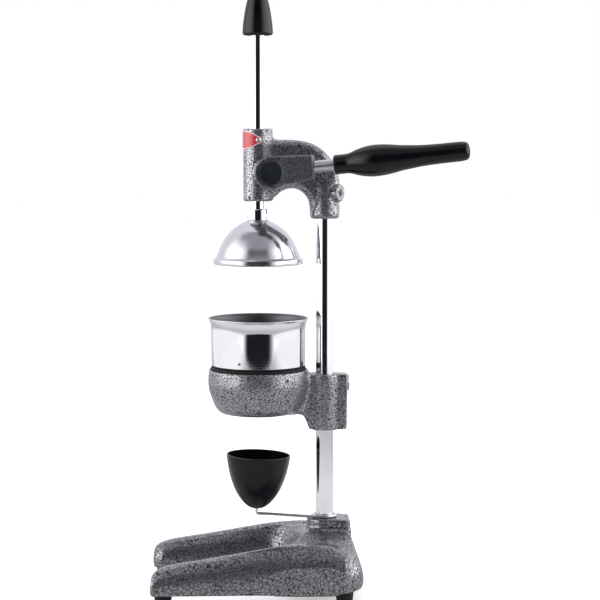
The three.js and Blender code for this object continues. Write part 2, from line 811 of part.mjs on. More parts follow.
// Inside of the bowl, upwards: radius, z
const BOWL_INSIDE = [[16, 249.6], [38, 254.5], [48, 262], [56, 292]];
const SUPPORT_WEB = [
  // x, half width, bottom z, top z, bottom corner radius
  [-58, 27, 249, 297, 8],
  [-46, 24, 244.6, 298.6, 8],
  [-36, 20.5, 243.4, 298.4, 8],
  [-30, 18.6, 241.6, 298, 8],
  [-26.5, 17.6, 236.5, 297.6, 7],
  [-19.8, 16.6, 222.6, 297, 5],
  [-6, 16, 222, 296.4, 4],
];
const SUPPORT_REAR = [
  // z, rear x, half width, rear corner radius
  [222.2, 28.2, 11.6, 2.5],
  [224, 29.4, 12.6, 3],
  [294, 30.8, 13, 3],
  [296.6, 29.4, 11.8, 2.5],
];

function supportBowl() {
  const profile = [
    [15, SUPPORT_BOTTOM + 0.6], [16, SUPPORT_BOTTOM], [45, SUPPORT_BOTTOM],
    [51.6, SUPPORT_BOTTOM + 1.8], [56.2, 250.5], [59.3, 256], [62.7, 264.5], [66.1, 276.5],
    [67.3, 290], [66.7, 302.2], [65.4, SUPPORT_LIP], [RECESS_R, SUPPORT_LIP],
    [RECESS_R, SUPPORT_RECESS_Z], [56, SUPPORT_RECESS_Z], ...[...BOWL_INSIDE].reverse(),
    [15, 249.4], [15, SUPPORT_BOTTOM + 0.6],
  ];
  return turned(profile, 36, RAM_X);
}

function cupSupport() {
  const web = loft(
    SUPPORT_WEB.map(([x, halfWidth, z0, z1, r]) =>
      rounded(-halfWidth, halfWidth, z0, z1, [r, r, 4, 4], [3, 3, 2, 2]).map(([y, z]) => [x, y, z]),
    ),
  );
  const tubeProfile = [
    [0, 221.4], [17.6, 221.4], [19.2, 223.2], [20.4, 288], [20.3, 294.6], [19, 296.5],
    [0, 296.5],
  ];
  const rear = loft(
    SUPPORT_REAR.map(([z, rearX, halfWidth, r]) =>
      rounded(0, rearX, -halfWidth, halfWidth, [1, r, r, 1], [2, 4, 4, 2]).map(([x, y]) => [x, y, z]),
    ),
  );
  const padProfile = [[0, 10], [10.5, 10], [10.5, 32.2], [9.6, 33.2], [0, 33.2]];
  const pad = turnedAlong(padProfile, 20, [0, 0, SUPPORT_SCREW_Z], REARWARD);
  const bowlCavity = [[0, 249.6], ...BOWL_INSIDE, [56, 320], [0, 320]];
  return union(supportBowl(), web, turned(tubeProfile, 32), rear, pad)
    .subtract(columnBore(200, 320))
    .subtract(turned(bowlCavity, 36, RAM_X))
    .subtract(rodZ(RECESS_R, SUPPORT_RECESS_Z, 320, 36, RAM_X))
    .subtract(setScrewBore(SUPPORT_SCREW_Z, 0));
}

function cupGasket() {
  const bottom = SUPPORT_RECESS_Z + 0.3;
  const profile = [
    [54, bottom], [63.2, bottom], [63.6, SUPPORT_RECESS_Z + 1], [63.6, 306.1], [63, 306.9],
    [54, 306.9], [54, bottom],
  ];
  return turned(profile, 36, RAM_X);
}

// ---- cup and the cone it holds ----
// One small hole pierces the cup's wall low on the near side, a little to the front.
function juiceCup() {
  const profile = [
    [41, CUP_FLOOR], [61.2, CUP_FLOOR], [62.5, CUP_FLOOR + 1.3], [63.6, 362.4], [64.3, 366],
    [66, 369.2], [69, 372.2], [68.6, 373], [67.6, 372.8], [64.8, 370.2], [63.2, 366.8],
    [62.4, 362.4], [61.3, CUP_FLOOR + 2.4], [60.4, CUP_FLOOR + 1.2], [41, CUP_FLOOR + 1.2],
    [41, CUP_FLOOR],
  ];
  const hole = rodAlong(1.5, 55, 70, 12, [RAM_X, 0, 316.4], radialDirection(-115));
  return turned(profile, 40, RAM_X).subtract(hole);
}

function pressCone() {
  const bottom = CUP_FLOOR + 1.4;
  const profile = [
    // radius, height above the cone's bottom
    [39, 0], [56, 0], [56, 1.6], [44.4, 1.8], [41.2, 3.2], [33.4, 14], [24.2, 28],
    [14.4, 41.5], [6, 49.6], [0, 51.4], [0, 47.6], [4.4, 46.2], [11.4, 39.6], [30.4, 12.6],
    [38, 2], [39, 0],
  ];
  let cone = turned(profile.map(([r, height]) => [r, bottom + height]), 28, RAM_X);
  // Low drain slots
  const slots = 8;
  for (let i = 0; i < slots; i++) {
    const slot = new THREE.BoxGeometry(20, 4, 12);
    slot.translate(38, 0, bottom + 9.5);
    slot.rotateZ(((i + 0.5) * 360 * DEG) / slots);
    slot.translate(RAM_X, 0, 0);
    cone = cone.subtract(solid(slot));
  }
  return cone;
}

// ---- swing-out drip cup on a wire arm that loops the column ----
const WIRE_R = 2;
const LOOP_R = 15.1;
const LOOP_Z = BASE_BOSS_TOP + WIRE_R + 0.25;
const ARM_DROP = 2.4; // how far the straight falls towards the loop
const BEND_R = 3;
const STUB = 10.5; // upright length at the arm's front end
const ARM_END_X = RAM_X + 0.4;
// The straight meets the loop at a tangent, on the near side.
const LOOP_START = Math.PI + Math.acos(LOOP_R / Math.abs(ARM_END_X));
const LOOP_ARC = 312 * DEG;

// Centre line of the wire: down the stub, round the bend, along the straight, round the loop
class DripArmPath extends THREE.Curve {
  getPoint(t, out = new THREE.Vector3()) {
    const tangentX = LOOP_R * Math.cos(LOOP_START);
    const tangentY = LOOP_R * Math.sin(LOOP_START);
    const straight = Math.hypot(ARM_END_X - tangentX, tangentY);
    const directionX = (tangentX - ARM_END_X) / straight;
    const directionY = tangentY / straight;
    const highZ = LOOP_Z + ARM_DROP;
    const onStraight = (along, z) =>
      out.set(ARM_END_X + directionX * along, directionY * along, z);

    const bend = (Math.PI / 2) * BEND_R;
    let s = t * (STUB + bend + straight + LOOP_ARC * LOOP_R);
    if (s < STUB) return onStraight(-BEND_R, highZ + BEND_R + STUB - s);
    s -= STUB;
    if (s < bend) {
      const angle = s / BEND_R;
      return onStraight(-BEND_R * Math.cos(angle), highZ + BEND_R * (1 - Math.sin(angle)));
    }
    s -= bend;
    if (s < straight) {
      const k = s / straight;
      const ease = k * k * (3 - 2 * k);
      return onStraight(s, highZ - ARM_DROP * ease);
    }
    s -= straight;
    const angle = LOOP_START + s / LOOP_R;
    return out.set(LOOP_R * Math.cos(angle), LOOP_R * Math.sin(angle), LOOP_Z);
  }
}

function dripArm() {
  const section = Array.from({ length: 8 }, (_, i) => {
    const angle = (i / 8) * 2 * Math.PI;
    return new THREE.Vector2(WIRE_R * Math.cos(angle), WIRE_R * Math.sin(angle));
  });
  return solid(
    new THREE.ExtrudeGeometry(new THREE.Shape(section), {
      steps: 50,
      bevelEnabled: false,
      extrudePath: new DripArmPath(),
    }),
  );
}

function dripCup() {
  const bottom = 114;
  const tilt = 2.2 * DEG; // the rim leans to the rear
  const profile = [
    // radius, z before the tilt
    [2.6, 114], [6, 114.2], [11, 116.4], [20, 122.7], [30.3, 138.8], [34.8, 149.5],
    [40.2, 165], [43.2, 186], [42.7, 187], [41.7, 187], [41, 185.4], [38, 166],
    [32.6, 150.4], [28.2, 139.8], [18.2, 125], [12, 119.6], [7, 118.6], [6.2, 124],
    [0, 124], [0, 121], [2.6, 121], [2.6, 114],
  ];
  const geometry = lathe(profile.map(([r, z]) => [r, z - bottom]), 28);
  geometry.rotateX(Math.PI / 2);
  geometry.rotateY(tilt);
  geometry.translate(RAM_X - 2.8, 0, bottom);
  return solid(geometry);
}

// ---- materials and assembly ----
const LOOKS = {
  hammertone: { color: 0x8a8b8e, roughness: 0.45, metalness: 0.6 },
  chrome: { color: 0xe6e8ec, roughness: 0.08, metalness: 1 },
  bell_aluminium: { color: 0xc9ccd2, roughness: 0.22, metalness: 1 },
  cup_stainless: { color: 0xd6d4d4, roughness: 0.15, metalness: 1 },
  cone_aluminium: { color: 0xb9bcc2, roughness: 0.35, metalness: 1 },
  gloss_black: { color: 0x0c0d10, roughness: 0.2, metalness: 0 },
  matte_black: { color: 0x101215, roughness: 0.6, metalness: 0 },
  black_rubber: { color: 0x0d0d0e, roughness: 0.85, metalness: 0 },
  red_enamel: { color: 0xc01f2e, roughness: 0.25, metalness: 0 },
  zinc_steel: { color: 0x9a9ca0, roughness: 0.4, metalness: 1 },
};

const columnFrame = new THREE.Group();
columnFrame.position.set(COLUMN_AXIS_X, COLUMN_AXIS_Y, 0);
const press = new THREE.Group();
press.name = "lever_fruit_press";
press.add(columnFrame);

function add(name, shape, look) {
  const mesh = new THREE.Mesh(geometryOf(shape), new THREE.MeshStandardMaterial(LOOKS[look]));
  mesh.name = name;
  columnFrame.add(mesh);
}

add("base_casting", baseCasting(), "hammertone");
for (const [place, x, y] of FEET) {
  add("foot_" + place, foot(x, y), "black_rubber");
  add("foot_screw_" + place, footScrew(x, y), "zinc_steel");
}
add("column", column(), "chrome");
add("base_set_screw", setScrew(BASE_SCREW_Z, 0, 30), "zinc_steel");
add("head_casting", headCasting(), "hammertone");
add("head_set_screw", setScrew(HEAD_SCREW_Z, HEAD_SCREW_TURN, 22.4), "zinc_steel");
add("badge_plate", badgePlate(), "red_enamel");
add("badge_rivet_near", badgeRivet(NEARWARD), "zinc_steel");
add("badge_rivet_far", badgeRivet(FARWARD), "zinc_steel");
add("pinion_shaft", pinionShaft(), "zinc_steel");
add("thrust_washer", thrustWasher(), "zinc_steel");
add("retaining_washer", retainingWasher(), "zinc_steel");
add("retaining_nut", retainingNut(), "zinc_steel");
add("lever_casting", leverCasting(), "hammertone");
add("lever_cross_pin", crossRod(2.25, 19.6), "zinc_steel");
add("lever_rod", leverRod(), "chrome");
add("lever_grip", leverGrip(), "gloss_black");
add("hub_cap", hubCap(), "matte_black");
add("ram_rod", ramRod(), "chrome");
add("top_knob", topKnob(), "gloss_black");
add("bell_collar", bellCollar(), "chrome");
add("press_bell", pressBell(), "bell_aluminium");
add("bell_screw", bellScrew(), "zinc_steel");
add("cup_support", cupSupport(), "hammertone");
add("support_set_screw", setScrew(SUPPORT_SCREW_Z, 0, 31), "zinc_steel");
add("cup_gasket", cupGasket(), "black_rubber");
add("juice_cup", juiceCup(), "cup_stainless");
add("press_cone", pressCone(), "cone_aluminium");
add("drip_arm", dripArm(), "zinc_steel");
add("drip_cup", dripCup(), "gloss_black");

export default press;
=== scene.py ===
"""Looks for a hand-lever fruit press: cast stand and head in hammer-finished enamel, chromed column
and ram, spun aluminium bell, stainless cup, black grips.

Everything is drawn in millimetres from the column's axis at table level and moved into the row frame
in metres. The ram stands in front of the column, towards -X; the lever is on the near side, -Y."""

import json
import math

import bmesh
import bpy
import numpy as np
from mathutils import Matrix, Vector

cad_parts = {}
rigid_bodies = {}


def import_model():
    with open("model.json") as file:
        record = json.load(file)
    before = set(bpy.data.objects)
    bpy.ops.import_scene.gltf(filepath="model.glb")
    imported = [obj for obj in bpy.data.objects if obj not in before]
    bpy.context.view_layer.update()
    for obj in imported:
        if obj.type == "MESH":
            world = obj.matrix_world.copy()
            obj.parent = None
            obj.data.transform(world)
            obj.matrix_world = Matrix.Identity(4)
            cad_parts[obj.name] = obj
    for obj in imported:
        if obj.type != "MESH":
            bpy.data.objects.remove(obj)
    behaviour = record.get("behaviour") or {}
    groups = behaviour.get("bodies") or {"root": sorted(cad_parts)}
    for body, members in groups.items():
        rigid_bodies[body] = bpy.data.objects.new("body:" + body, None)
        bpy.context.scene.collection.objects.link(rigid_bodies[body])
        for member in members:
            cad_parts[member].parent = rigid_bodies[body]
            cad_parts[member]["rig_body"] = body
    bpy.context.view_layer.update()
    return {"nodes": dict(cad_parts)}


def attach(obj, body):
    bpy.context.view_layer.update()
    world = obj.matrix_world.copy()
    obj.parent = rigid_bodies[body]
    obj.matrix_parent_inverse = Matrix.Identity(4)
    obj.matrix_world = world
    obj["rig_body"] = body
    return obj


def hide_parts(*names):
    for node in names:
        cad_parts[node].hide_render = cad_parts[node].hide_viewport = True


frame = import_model()

MM = 0.001
DEG = math.pi / 180
OFFSET = np.array([26.02, 4.99, 0.0])  # the column's axis in the row frame

COLUMN_RADIUS, COLUMN_FOOT, COLUMN_TOP = 12, 28, 555
COLUMN_BORE = COLUMN_RADIUS + 0.25
RAM_X = -89.0
RAM_AXIS = (RAM_X, 0, 0)
RAM_RADIUS, RAM_BORE = 10.0, 10.35
PIN_X, PIN_Z = -74.0, 567.7  # the pinion shaft, which runs along Y
PIN = (PIN_X, 0, PIN_Z)
SHAFT_BORE = 7.28

SCREW_RADIUS = 4.0  # set screws that hold the castings on the column
SCREW_BORE = SCREW_RADIUS + 0.25
SCREW_START, SCREW_HOLE_START = 12.3, 9  # distance from the column's axis
BASE_SCREW_Z, SUPPORT_SCREW_Z, HEAD_SCREW_Z = 91, 284.4, 539.6
HEAD_SCREW_TURN = -33  # degrees from +X

FOOT_XS, FOOT_Y = (-217, 22), 82
BASE_HALF_WIDTH = 101.6
YOKE_FRONT = -102.0
BADGE_Z = 610

LEVER_FROM = np.array([PIN_X, -43.4, PIN_Z + 1.2])
LEVER_RISE, LEVER_SPLAY = 6.3 * DEG, 12.8 * DEG
LEVER_DIR = np.array([
    math.cos(LEVER_RISE) * math.cos(LEVER_SPLAY),
    -math.cos(LEVER_RISE) * math.sin(LEVER_SPLAY),
    math.sin(LEVER_RISE),
])
LEVER_ARM = 58.9  # length of the cast arm
LEVER_ROD_RADIUS = 8

CAMERA_TURN, CAMERA_RISE = 2.7, 5.5  # degrees
CAMERA_DISTANCE = 2.707  # metres


# ------------------------------------------------------------------ materials
def is_socket(value):
    return isinstance(value, bpy.types.NodeSocket)


def rgba(colour):
    return colour if is_socket(colour) else (*colour, 1.0)


def dim(tint, factor):
    return tuple(c * factor for c in tint)


class Nodes:
    """Builds a node tree. Any value may be a plain number or another node's output."""

    def __init__(self, tree):
        self.tree = tree
        tree.nodes.clear()

    def add(self, kind, inputs=None, **props):
        node = self.tree.nodes.new("ShaderNode" + kind)
        for key, value in props.items():
            setattr(node, key, value)
        for key, value in (inputs or {}).items():
            self.put(node.inputs[key], value)
        return node

    def put(self, target, value):
        if is_socket(value):
            self.tree.links.new(value, target)
        else:
            target.default_value = value

    def math(self, op, a, b=0.0, c=None, clamp=False):
        inputs = {0: a, 1: b}
        if c is not None:
            inputs[2] = c
        return self.add("Math", inputs, operation=op, use_clamp=clamp).outputs[0]

    def line(self, value, over, to=(0.0, 1.0), kind="LINEAR"):
        """The value's range `over` carried to the range `to`, level beyond it."""
        inputs = {
            "Value": value, "From Min": over[0], "From Max": over[1], "To Min": to[0], "To Max": to[1],
        }
        return self.add("MapRange", inputs, interpolation_type=kind).outputs[0]

    def ramp(self, value, over, to=(0.0, 1.0)):
        return self.line(value, over, to, "SMOOTHSTEP")

    def mix(self, factor, a, b):
        """Colour a where factor is 0, b where it is 1."""
        return self.add("Mix", {0: factor, 6: rgba(a), 7: rgba(b)}, data_type="RGBA").outputs[2]

    def blend(self, factor, a, b):
        """Value a where factor is 0, b where it is 1."""
        return self.add("Mix", {0: factor, 2: a, 3: b}, data_type="FLOAT").outputs[0]


class Look(Nodes):
    """A material. Coordinates are the piece's own, in metres, so a finish moves with its piece."""

    def __init__(self, name):
        self.material = bpy.data.materials.new(name)
        self.material.use_nodes = True
        super().__init__(self.material.node_tree)
        out = self.add("OutputMaterial")
        self.bsdf = self.add("BsdfPrincipled")
        self.put(out.inputs[0], self.bsdf.outputs[0])
        self.coord = self.add("TexCoord").outputs["Object"]

    def noise(self, scale, detail=2.0, vector=None, rough=0.5, colour=False):
        vector = self.coord if vector is None else vector
        inputs = {"Vector": vector, "Scale": scale, "Detail": detail, "Roughness": rough}
        return self.add("TexNoise", inputs).outputs["Color" if colour else "Fac"]

    def turned_lines(self, arc, scale):
        """Noise along the outline only, so that it runs round a turned piece."""
        inputs = {"W": arc, "Scale": scale, "Detail": 3.0, "Roughness": 0.7}
        return self.add("TexNoise", inputs, noise_dimensions="1D").outputs["Fac"]

    def voronoi(self, scale, feature="F1", vector=None):
        inputs = {"Vector": self.coord if vector is None else vector, "Scale": scale}
        return self.add("TexVoronoi", inputs, feature=feature).outputs["Distance"]

    def vector_math(self, op, inputs):
        return self.add("VectorMath", inputs, operation=op).outputs[0]

    def warped(self, scale, amount, detail):
        """The piece's coordinates pushed about by up to `amount` metres."""
        push = self.noise(scale, detail, colour=True)
        centred = self.vector_math("SUBTRACT", {0: push, 1: (0.5, 0.5, 0.5)})
        scaled = self.vector_math("SCALE", {0: centred, "Scale": amount * 2})
        return self.vector_math("ADD", {0: self.coord, 1: scaled})

    def attribute(self, name):
        return self.add("Attribute", attribute_name=name).outputs["Fac"]

    def bump(self, height, metres, strength):
        inputs = {"Height": height, "Distance": metres, "Strength": strength}
        return self.add("Bump", inputs).outputs[0]

    def surface(
        self, colour, roughness, normal, metallic=0.0, coat=0.0, coat_rough=0.05, specular=0.5
    ):
        for key, value in (
            ("Base Color", rgba(colour)),
            ("Roughness", roughness),
            ("Metallic", metallic),
            ("Normal", normal),
            ("Coat Weight", coat),
            ("Coat Roughness", coat_rough),
            ("Specular IOR Level", specular),
        ):
            self.put(self.bsdf.inputs[key], value)
        return self.material


def hammertone(name, cell, light):
    """Silver enamel that has drawn up into flat-topped islands, `cell` metres wide, between dark
    veins."""
    look = Look(name)
    where = look.warped(scale=0.55 / cell, amount=0.34 * cell, detail=2.0)
    edge = look.voronoi(1.0 / cell, "DISTANCE_TO_EDGE", where)
    fine = look.noise(scale=2.6 / cell, detail=3.0, vector=where, rough=0.6)
    broad = look.noise(scale=0.22 / cell)
    jitter = look.math("MULTIPLY_ADD", fine, 0.26, -0.13)
    island = look.ramp(look.math("ADD", edge, jitter), over=(0.02, 0.12))
    # Thin dark crazing runs through the islands too.
    craze_where = look.warped(scale=0.9 / cell, amount=0.3 * cell, detail=1.0)
    craze_edge = look.voronoi(1.9 / cell, "DISTANCE_TO_EDGE", craze_where)
    craze = look.ramp(craze_edge, over=(0.01, 0.10))
    patch = look.ramp(broad, over=(0.38, 0.66))
    craze_amount = look.math("MULTIPLY_ADD", patch, 0.35, 0.42)
    craze_cut = look.blend(craze_amount, 1.0, craze)
    metal = look.math("MULTIPLY", island, craze_cut, clamp=True)
    dark, bright = dim((0.24, 0.243, 0.258), light), dim((0.62, 0.625, 0.655), light)
    tone = look.mix(look.ramp(fine, over=(0.3, 0.72)), dark, bright)
    dome = look.ramp(edge, over=(0.0, 0.05))
    height = look.math(
        "ADD", look.math("MULTIPLY", dome, 0.6), look.math("MULTIPLY", fine, 0.14)
    )
    return look.surface(
        colour=look.mix(metal, (0.006, 0.0065, 0.008), tone),
        roughness=look.blend(metal, 0.40, look.line(fine, over=(0.2, 0.8), to=(0.24, 0.34))),
        metallic=look.math("MULTIPLY", metal, 0.94),
        normal=look.bump(height, metres=0.038 * cell, strength=1.0),
        coat=0.12,
        coat_rough=0.08,
        specular=0.3,
    )


def lined_tint(look, tint, cloud, turning, cloud_dim, lines):
    """The metal's tint, dimmed in clouds and darker along its finishing lines."""
    shade = look.mix(look.ramp(cloud, over=(0.35, 0.7)), dim(tint, cloud_dim), tint)
    amount = look.math("MULTIPLY", look.ramp(turning, over=(0.45, 0.75)), lines)
    return look.mix(amount, shade, dim(tint, 0.72))


def polished(name, tint, rough, line_scale, line_depth, smudge, turned=False):
    """Bright metal with faint handling marks and fine lines, along Z or round a turned piece."""
    look = Look(name)
    haze = look.noise(scale=38.0, detail=3.0)
    spots = look.noise(scale=420.0)
    if turned:
        turning = look.turned_lines(look.attribute("arc"), line_scale)
    else:
        drawn_out = look.vector_math("MULTIPLY", {0: look.coord, 1: (line_scale, line_scale, 14.0)})
        turning = look.noise(scale=1.0, detail=3.0, vector=drawn_out, rough=0.6)
    smudged = look.line(haze, over=(0.3, 0.75), to=(rough, rough + smudge))
    lined = look.line(turning, over=(0.3, 0.8), to=(-0.15 * rough, 0.45 * rough))
    height = look.math("ADD", turning, look.math("MULTIPLY", spots, 0.4))
    return look.surface(
        colour=lined_tint(look, tint, haze, turning, cloud_dim=0.95, lines=0.16),
        roughness=look.math("ADD", smudged, lined),
        metallic=1.0,
        normal=look.bump(height, metres=line_depth, strength=0.6),
    )


def spun(name, tint):
    """Polished aluminium under a fine haze: bright flats between countless tiny scratches."""
    look = Look(name)
    cloud = look.noise(scale=38.0, detail=3.0)
    turning = look.turned_lines(look.attribute("arc"), scale=2400.0)
    start, end = (look.line(cloud, over=(0.3, 0.7), to=to) for to in ((0.63, 0.57), (0.69, 0.63)))
    haze = look.ramp(look.noise(scale=5200.0, detail=1.0), over=(start, end))
    flats = look.line(turning, over=(0.3, 0.8), to=(0.10, 0.15))
    return look.surface(
        colour=lined_tint(look, tint, cloud, turning, cloud_dim=0.94, lines=0.12),
        roughness=look.blend(haze, flats, 0.52),
        metallic=1.0,
        normal=look.bump(turning, metres=0.00002, strength=0.6),
    )


def stainless_cup(name, tint, rim):
    """Polished outside; beyond `rim` metres of its outline, ground satin inside and much darker, the
    darkness painted shade in the cup's hollow.
    """
    look = Look(name)
    haze = look.noise(scale=38.0, detail=3.0)
    spots = look.noise(scale=420.0)
    arc = look.attribute("arc")
    turning = look.turned_lines(arc, scale=2600.0)
    inside = look.ramp(arc, over=(rim - 0.0008, rim + 0.0006))
    shade = lined_tint(look, tint, haze, turning, cloud_dim=0.95, lines=0.12)
    bright = look.math(
        "ADD",
        look.line(haze, over=(0.3, 0.75), to=(0.028, 0.046)),
        look.line(turning, over=(0.3, 0.8), to=(-0.006, 0.014)),
    )
    satin = look.line(haze, over=(0.3, 0.75), to=(0.40, 0.50))
    lines = look.math("MULTIPLY", turning, look.blend(inside, 0.3, 5.0))
    height = look.math("ADD", lines, look.math("MULTIPLY", spots, 0.12))
    return look.surface(
        # Inside, the metal's tint drops to a dark grey: painted shade in the hollow.
        colour=look.mix(inside, shade, (0.115, 0.115, 0.12)),
        roughness=look.blend(inside, bright, satin),
        metallic=1.0,
        normal=look.bump(height, metres=0.00002, strength=0.6),
    )


def black_plastic(name, base, rough, grain, depth, specular, rim=None, soft_edge=False):
    """Moulded black plastic; beyond `rim` metres of its outline it is duller. A soft edge mirrors
    less where it turns away."""
    look = Look(name)
    if soft_edge:
        facing = look.add("LayerWeight").outputs["Facing"]
        specular = look.ramp(facing, over=(0.45, 0.84), to=(specular, 0.0))
    if rim is not None:
        arc = look.attribute("arc")
        specular = look.ramp(arc, over=(rim - 0.001, rim + 0.001), to=(specular, 0.0))
    cloud = look.noise(scale=45.0, detail=3.0)
    fine = look.noise(scale=grain, detail=3.0, rough=0.6)
    dust = look.ramp(look.voronoi(scale=330.0), over=(0.0, 0.055), to=(1.0, 0.0))
    pale = tuple(c * 1.7 + 0.002 for c in base)
    colour = look.mix(look.ramp(cloud, over=(0.3, 0.75)), base, pale)
    clean = look.line(cloud, over=(0.3, 0.7), to=(rough * 0.85, rough * 1.2))
    return look.surface(
        colour=look.mix(look.math("MULTIPLY", dust, 0.06), colour, (0.35, 0.34, 0.33)),
        roughness=look.math("ADD", clean, look.math("MULTIPLY", dust, 0.1)),
        normal=look.bump(fine, metres=depth, strength=0.7),
        specular=specular,
    )


def rubber(name):
    """Scuffed black rubber."""
    look = Look(name)
    cloud = look.noise(scale=60.0, detail=3.0)
    fine = look.noise(scale=1500.0, detail=3.0, rough=0.7)
    scuff = look.ramp(look.noise(scale=160.0, detail=4.0, rough=0.7), over=(0.56, 0.74))
    clouds = look.ramp(cloud, over=(0.3, 0.7))
    colour = look.mix(clouds, (0.006, 0.006, 0.007), (0.013, 0.013, 0.014))
    return look.surface(
        colour=look.mix(look.math("MULTIPLY", scuff, 0.25), colour, (0.05, 0.05, 0.05)),
        roughness=look.line(cloud, over=(0.3, 0.7), to=(0.5, 0.72)),
        normal=look.bump(fine, metres=0.00008, strength=0.8),
        specular=0.22,
    )


def steel(name, tint, rough):
    """Steel with a little mottling and wear on it."""
    look = Look(name)
    cloud = look.noise(scale=150.0, detail=3.0)
    fine = look.noise(scale=1800.0, detail=3.0, rough=0.65)
    stain = look.ramp(look.noise(scale=260.0, detail=4.0, rough=0.7), over=(0.55, 0.72))
    colour = look.mix(look.ramp(cloud, over=(0.3, 0.7)), dim(tint, 0.82), tint)
    clean = look.line(cloud, over=(0.3, 0.7), to=(rough, rough * 1.35))
    return look.surface(
        colour=look.mix(look.math("MULTIPLY", stain, 0.35), colour, dim(tint, 0.45)),
        roughness=look.math("ADD", clean, look.math("MULTIPLY", stain, 0.12)),
        metallic=1.0,
        normal=look.bump(fine, metres=0.00003, strength=0.7),
    )


def enamel(name):
    """Red fired enamel with a white line round the edge."""
    look = Look(name)
    edge = look.attribute("edge")  # millimetres in from the plate's edge
    wobble = look.line(look.noise(scale=900.0), over=(0.3, 0.7), to=(-0.08, 0.08))
    inset = look.math("ADD", edge, wobble)
    white = look.math(
        "MULTIPLY",
        look.ramp(inset, over=(0.10, 0.28)),
        look.ramp(inset, over=(1.15, 1.40), to=(1.0, 0.0)),
    )
    cloud = look.noise(scale=140.0, detail=3.0)
    clouds = look.ramp(cloud, over=(0.3, 0.7))
    red = look.mix(clouds, (0.54, 0.020, 0.036), (0.68, 0.032, 0.052))
    chip = look.ramp(look.noise(scale=420.0, detail=3.0, rough=0.7), over=(0.70, 0.74))
    colour = look.mix(white, red, (0.83, 0.80, 0.80))
    return look.surface(
        colour=look.mix(look.math("MULTIPLY", chip, 0.5), colour, (0.28, 0.02, 0.03)),
        roughness=look.line(cloud, over=(0.3, 0.7), to=(0.24, 0.34)),
        normal=look.bump(look.math("MULTIPLY", white, 1.0), metres=0.00005, strength=0.5),
        coat=0.5,
        coat_rough=0.08,
    )


LOOKS = {
    "hammertone": hammertone("hammertone_enamel", cell=0.0036, light=1.0),
    "hammertone_base": hammertone("hammertone_enamel_base", cell=0.0050, light=0.75),
    # The same enamel at half brightness for the lever: painted shade that darkens the arm.
    "hammertone_lever_shaded": hammertone("hammertone_enamel_lever_shaded", cell=0.0036, light=0.50),
    "chrome": polished(
        "polished_chrome", tint=(0.93, 0.935, 0.95), rough=0.035,
        line_scale=3200.0, line_depth=0.000008, smudge=0.04,
    ),
    "lever_steel": polished(
        "polished_lever_rod", tint=(0.50, 0.505, 0.53), rough=0.20,
        line_scale=3200.0, line_depth=0.000016, smudge=0.06,
    ),
    "bell_aluminium": spun("spun_aluminium", tint=(0.55, 0.555, 0.585)),
    "cone_aluminium": polished(
        "satin_aluminium", tint=(0.66, 0.67, 0.70), rough=0.30,
        line_scale=1700.0, line_depth=0.000064, smudge=0.08, turned=True,
    ),
    "cup_stainless": stainless_cup("polished_stainless", tint=(0.90, 0.885, 0.885), rim=0.0935),
    "zinc_steel": steel("zinc_plated_steel", tint=(0.60, 0.61, 0.64), rough=0.26),
    "wire_steel": steel("wire_steel", tint=(0.66, 0.66, 0.68), rough=0.22),
    "gloss_black": black_plastic(
        "gloss_black_phenolic", base=(0.0024, 0.0026, 0.0034), rough=0.15,
        grain=900.0, depth=0.00002, specular=0.27, soft_edge=True,
    ),
    "drip_plastic": black_plastic(
        "drip_cup_plastic", base=(0.0030, 0.0034, 0.0046), rough=0.20,
        grain=1300.0, depth=0.00002, specular=0.24, rim=0.0905,
    ),
    "matte_black": black_plastic(
        "matte_black_cap", base=(0.0065, 0.009, 0.013), rough=0.50,
        grain=1700.0, depth=0.00005, specular=0.18,
    ),
    "foot_rubber": rubber("foot_rubber"),
    "gasket_rubber": rubber("gasket_rubber"),
    "red_enamel": enamel("red_enamel"),
}


# ------------------------------------------------------------------ shapes: points, faces, attributes
def filleted(points, steps=5):
    """[r, z] or [r, z, fillet radius] points, with the filleted corners turned into arcs."""
    out = []
    for i, point in enumerate(points):
        corner = np.array(point[:2], float)
        radius = point[2] if len(point) > 2 else 0
        if radius <= 0:
            out.append(corner)
            continue
        back = np.array(points[i - 1][:2], float) - corner
        ahead = np.array(points[i + 1][:2], float) - corner
        back_length, ahead_length = np.linalg.norm(back), np.linalg.norm(ahead)
        back, ahead = back / back_length, ahead / ahead_length
        angle = math.acos(max(-1, min(1, float(back @ ahead))))
        if angle > math.pi - 1e-3:
            out.append(corner)
            continue
        reach = min(radius / math.tan(angle / 2), 0.49 * back_length, 0.49 * ahead_length)
        radius = reach * math.tan(angle / 2)
        bisector = (back + ahead) / np.linalg.norm(back + ahead)
        centre = corner + bisector * (radius / math.sin(angle / 2))
        start, end = corner + back * reach - centre, corner + ahead * reach - centre
        turn = math.atan2(start[0] * end[1] - start[1] * end[0], start @ end)
        for j in range(steps + 1):
            cos, sin = math.cos(turn * j / steps), math.sin(turn * j / steps)
            spoke = [start[0] * cos - start[1] * sin, start[0] * sin + start[1] * cos]
            out.append(centre + np.array(spoke))
    return out


def between(a, b, start, end, t):
    return (end - t) / (end - start) * a + (t - start) / (end - start) * b


def curve(points, steps=5):
    """A smooth line through the points (centripetal Catmull-Rom)."""
    p = [np.array(q, float) for q in points]
    p = [2 * p[0] - p[1]] + p + [2 * p[-1] - p[-2]]
    out = []
    for i in range(1, len(p) - 2):
        four = p[i - 1 : i + 3]
        knots = [0.0]
        for a, b in zip(four, four[1:]):
            knots.append(knots[-1] + max(np.linalg.norm(b - a), 1e-9) ** 0.5)
        for j in range(steps):
            t = knots[1] + (knots[2] - knots[1]) * j / steps
            a = [between(four[k], four[k + 1], knots[k], knots[k + 1], t) for k in range(3)]
            b = [between(a[k], a[k + 1], knots[k], knots[k + 2], t) for k in range(2)]
            out.append(between(b[0], b[1], knots[1], knots[2], t))
    out.append(p[-2])
    return out


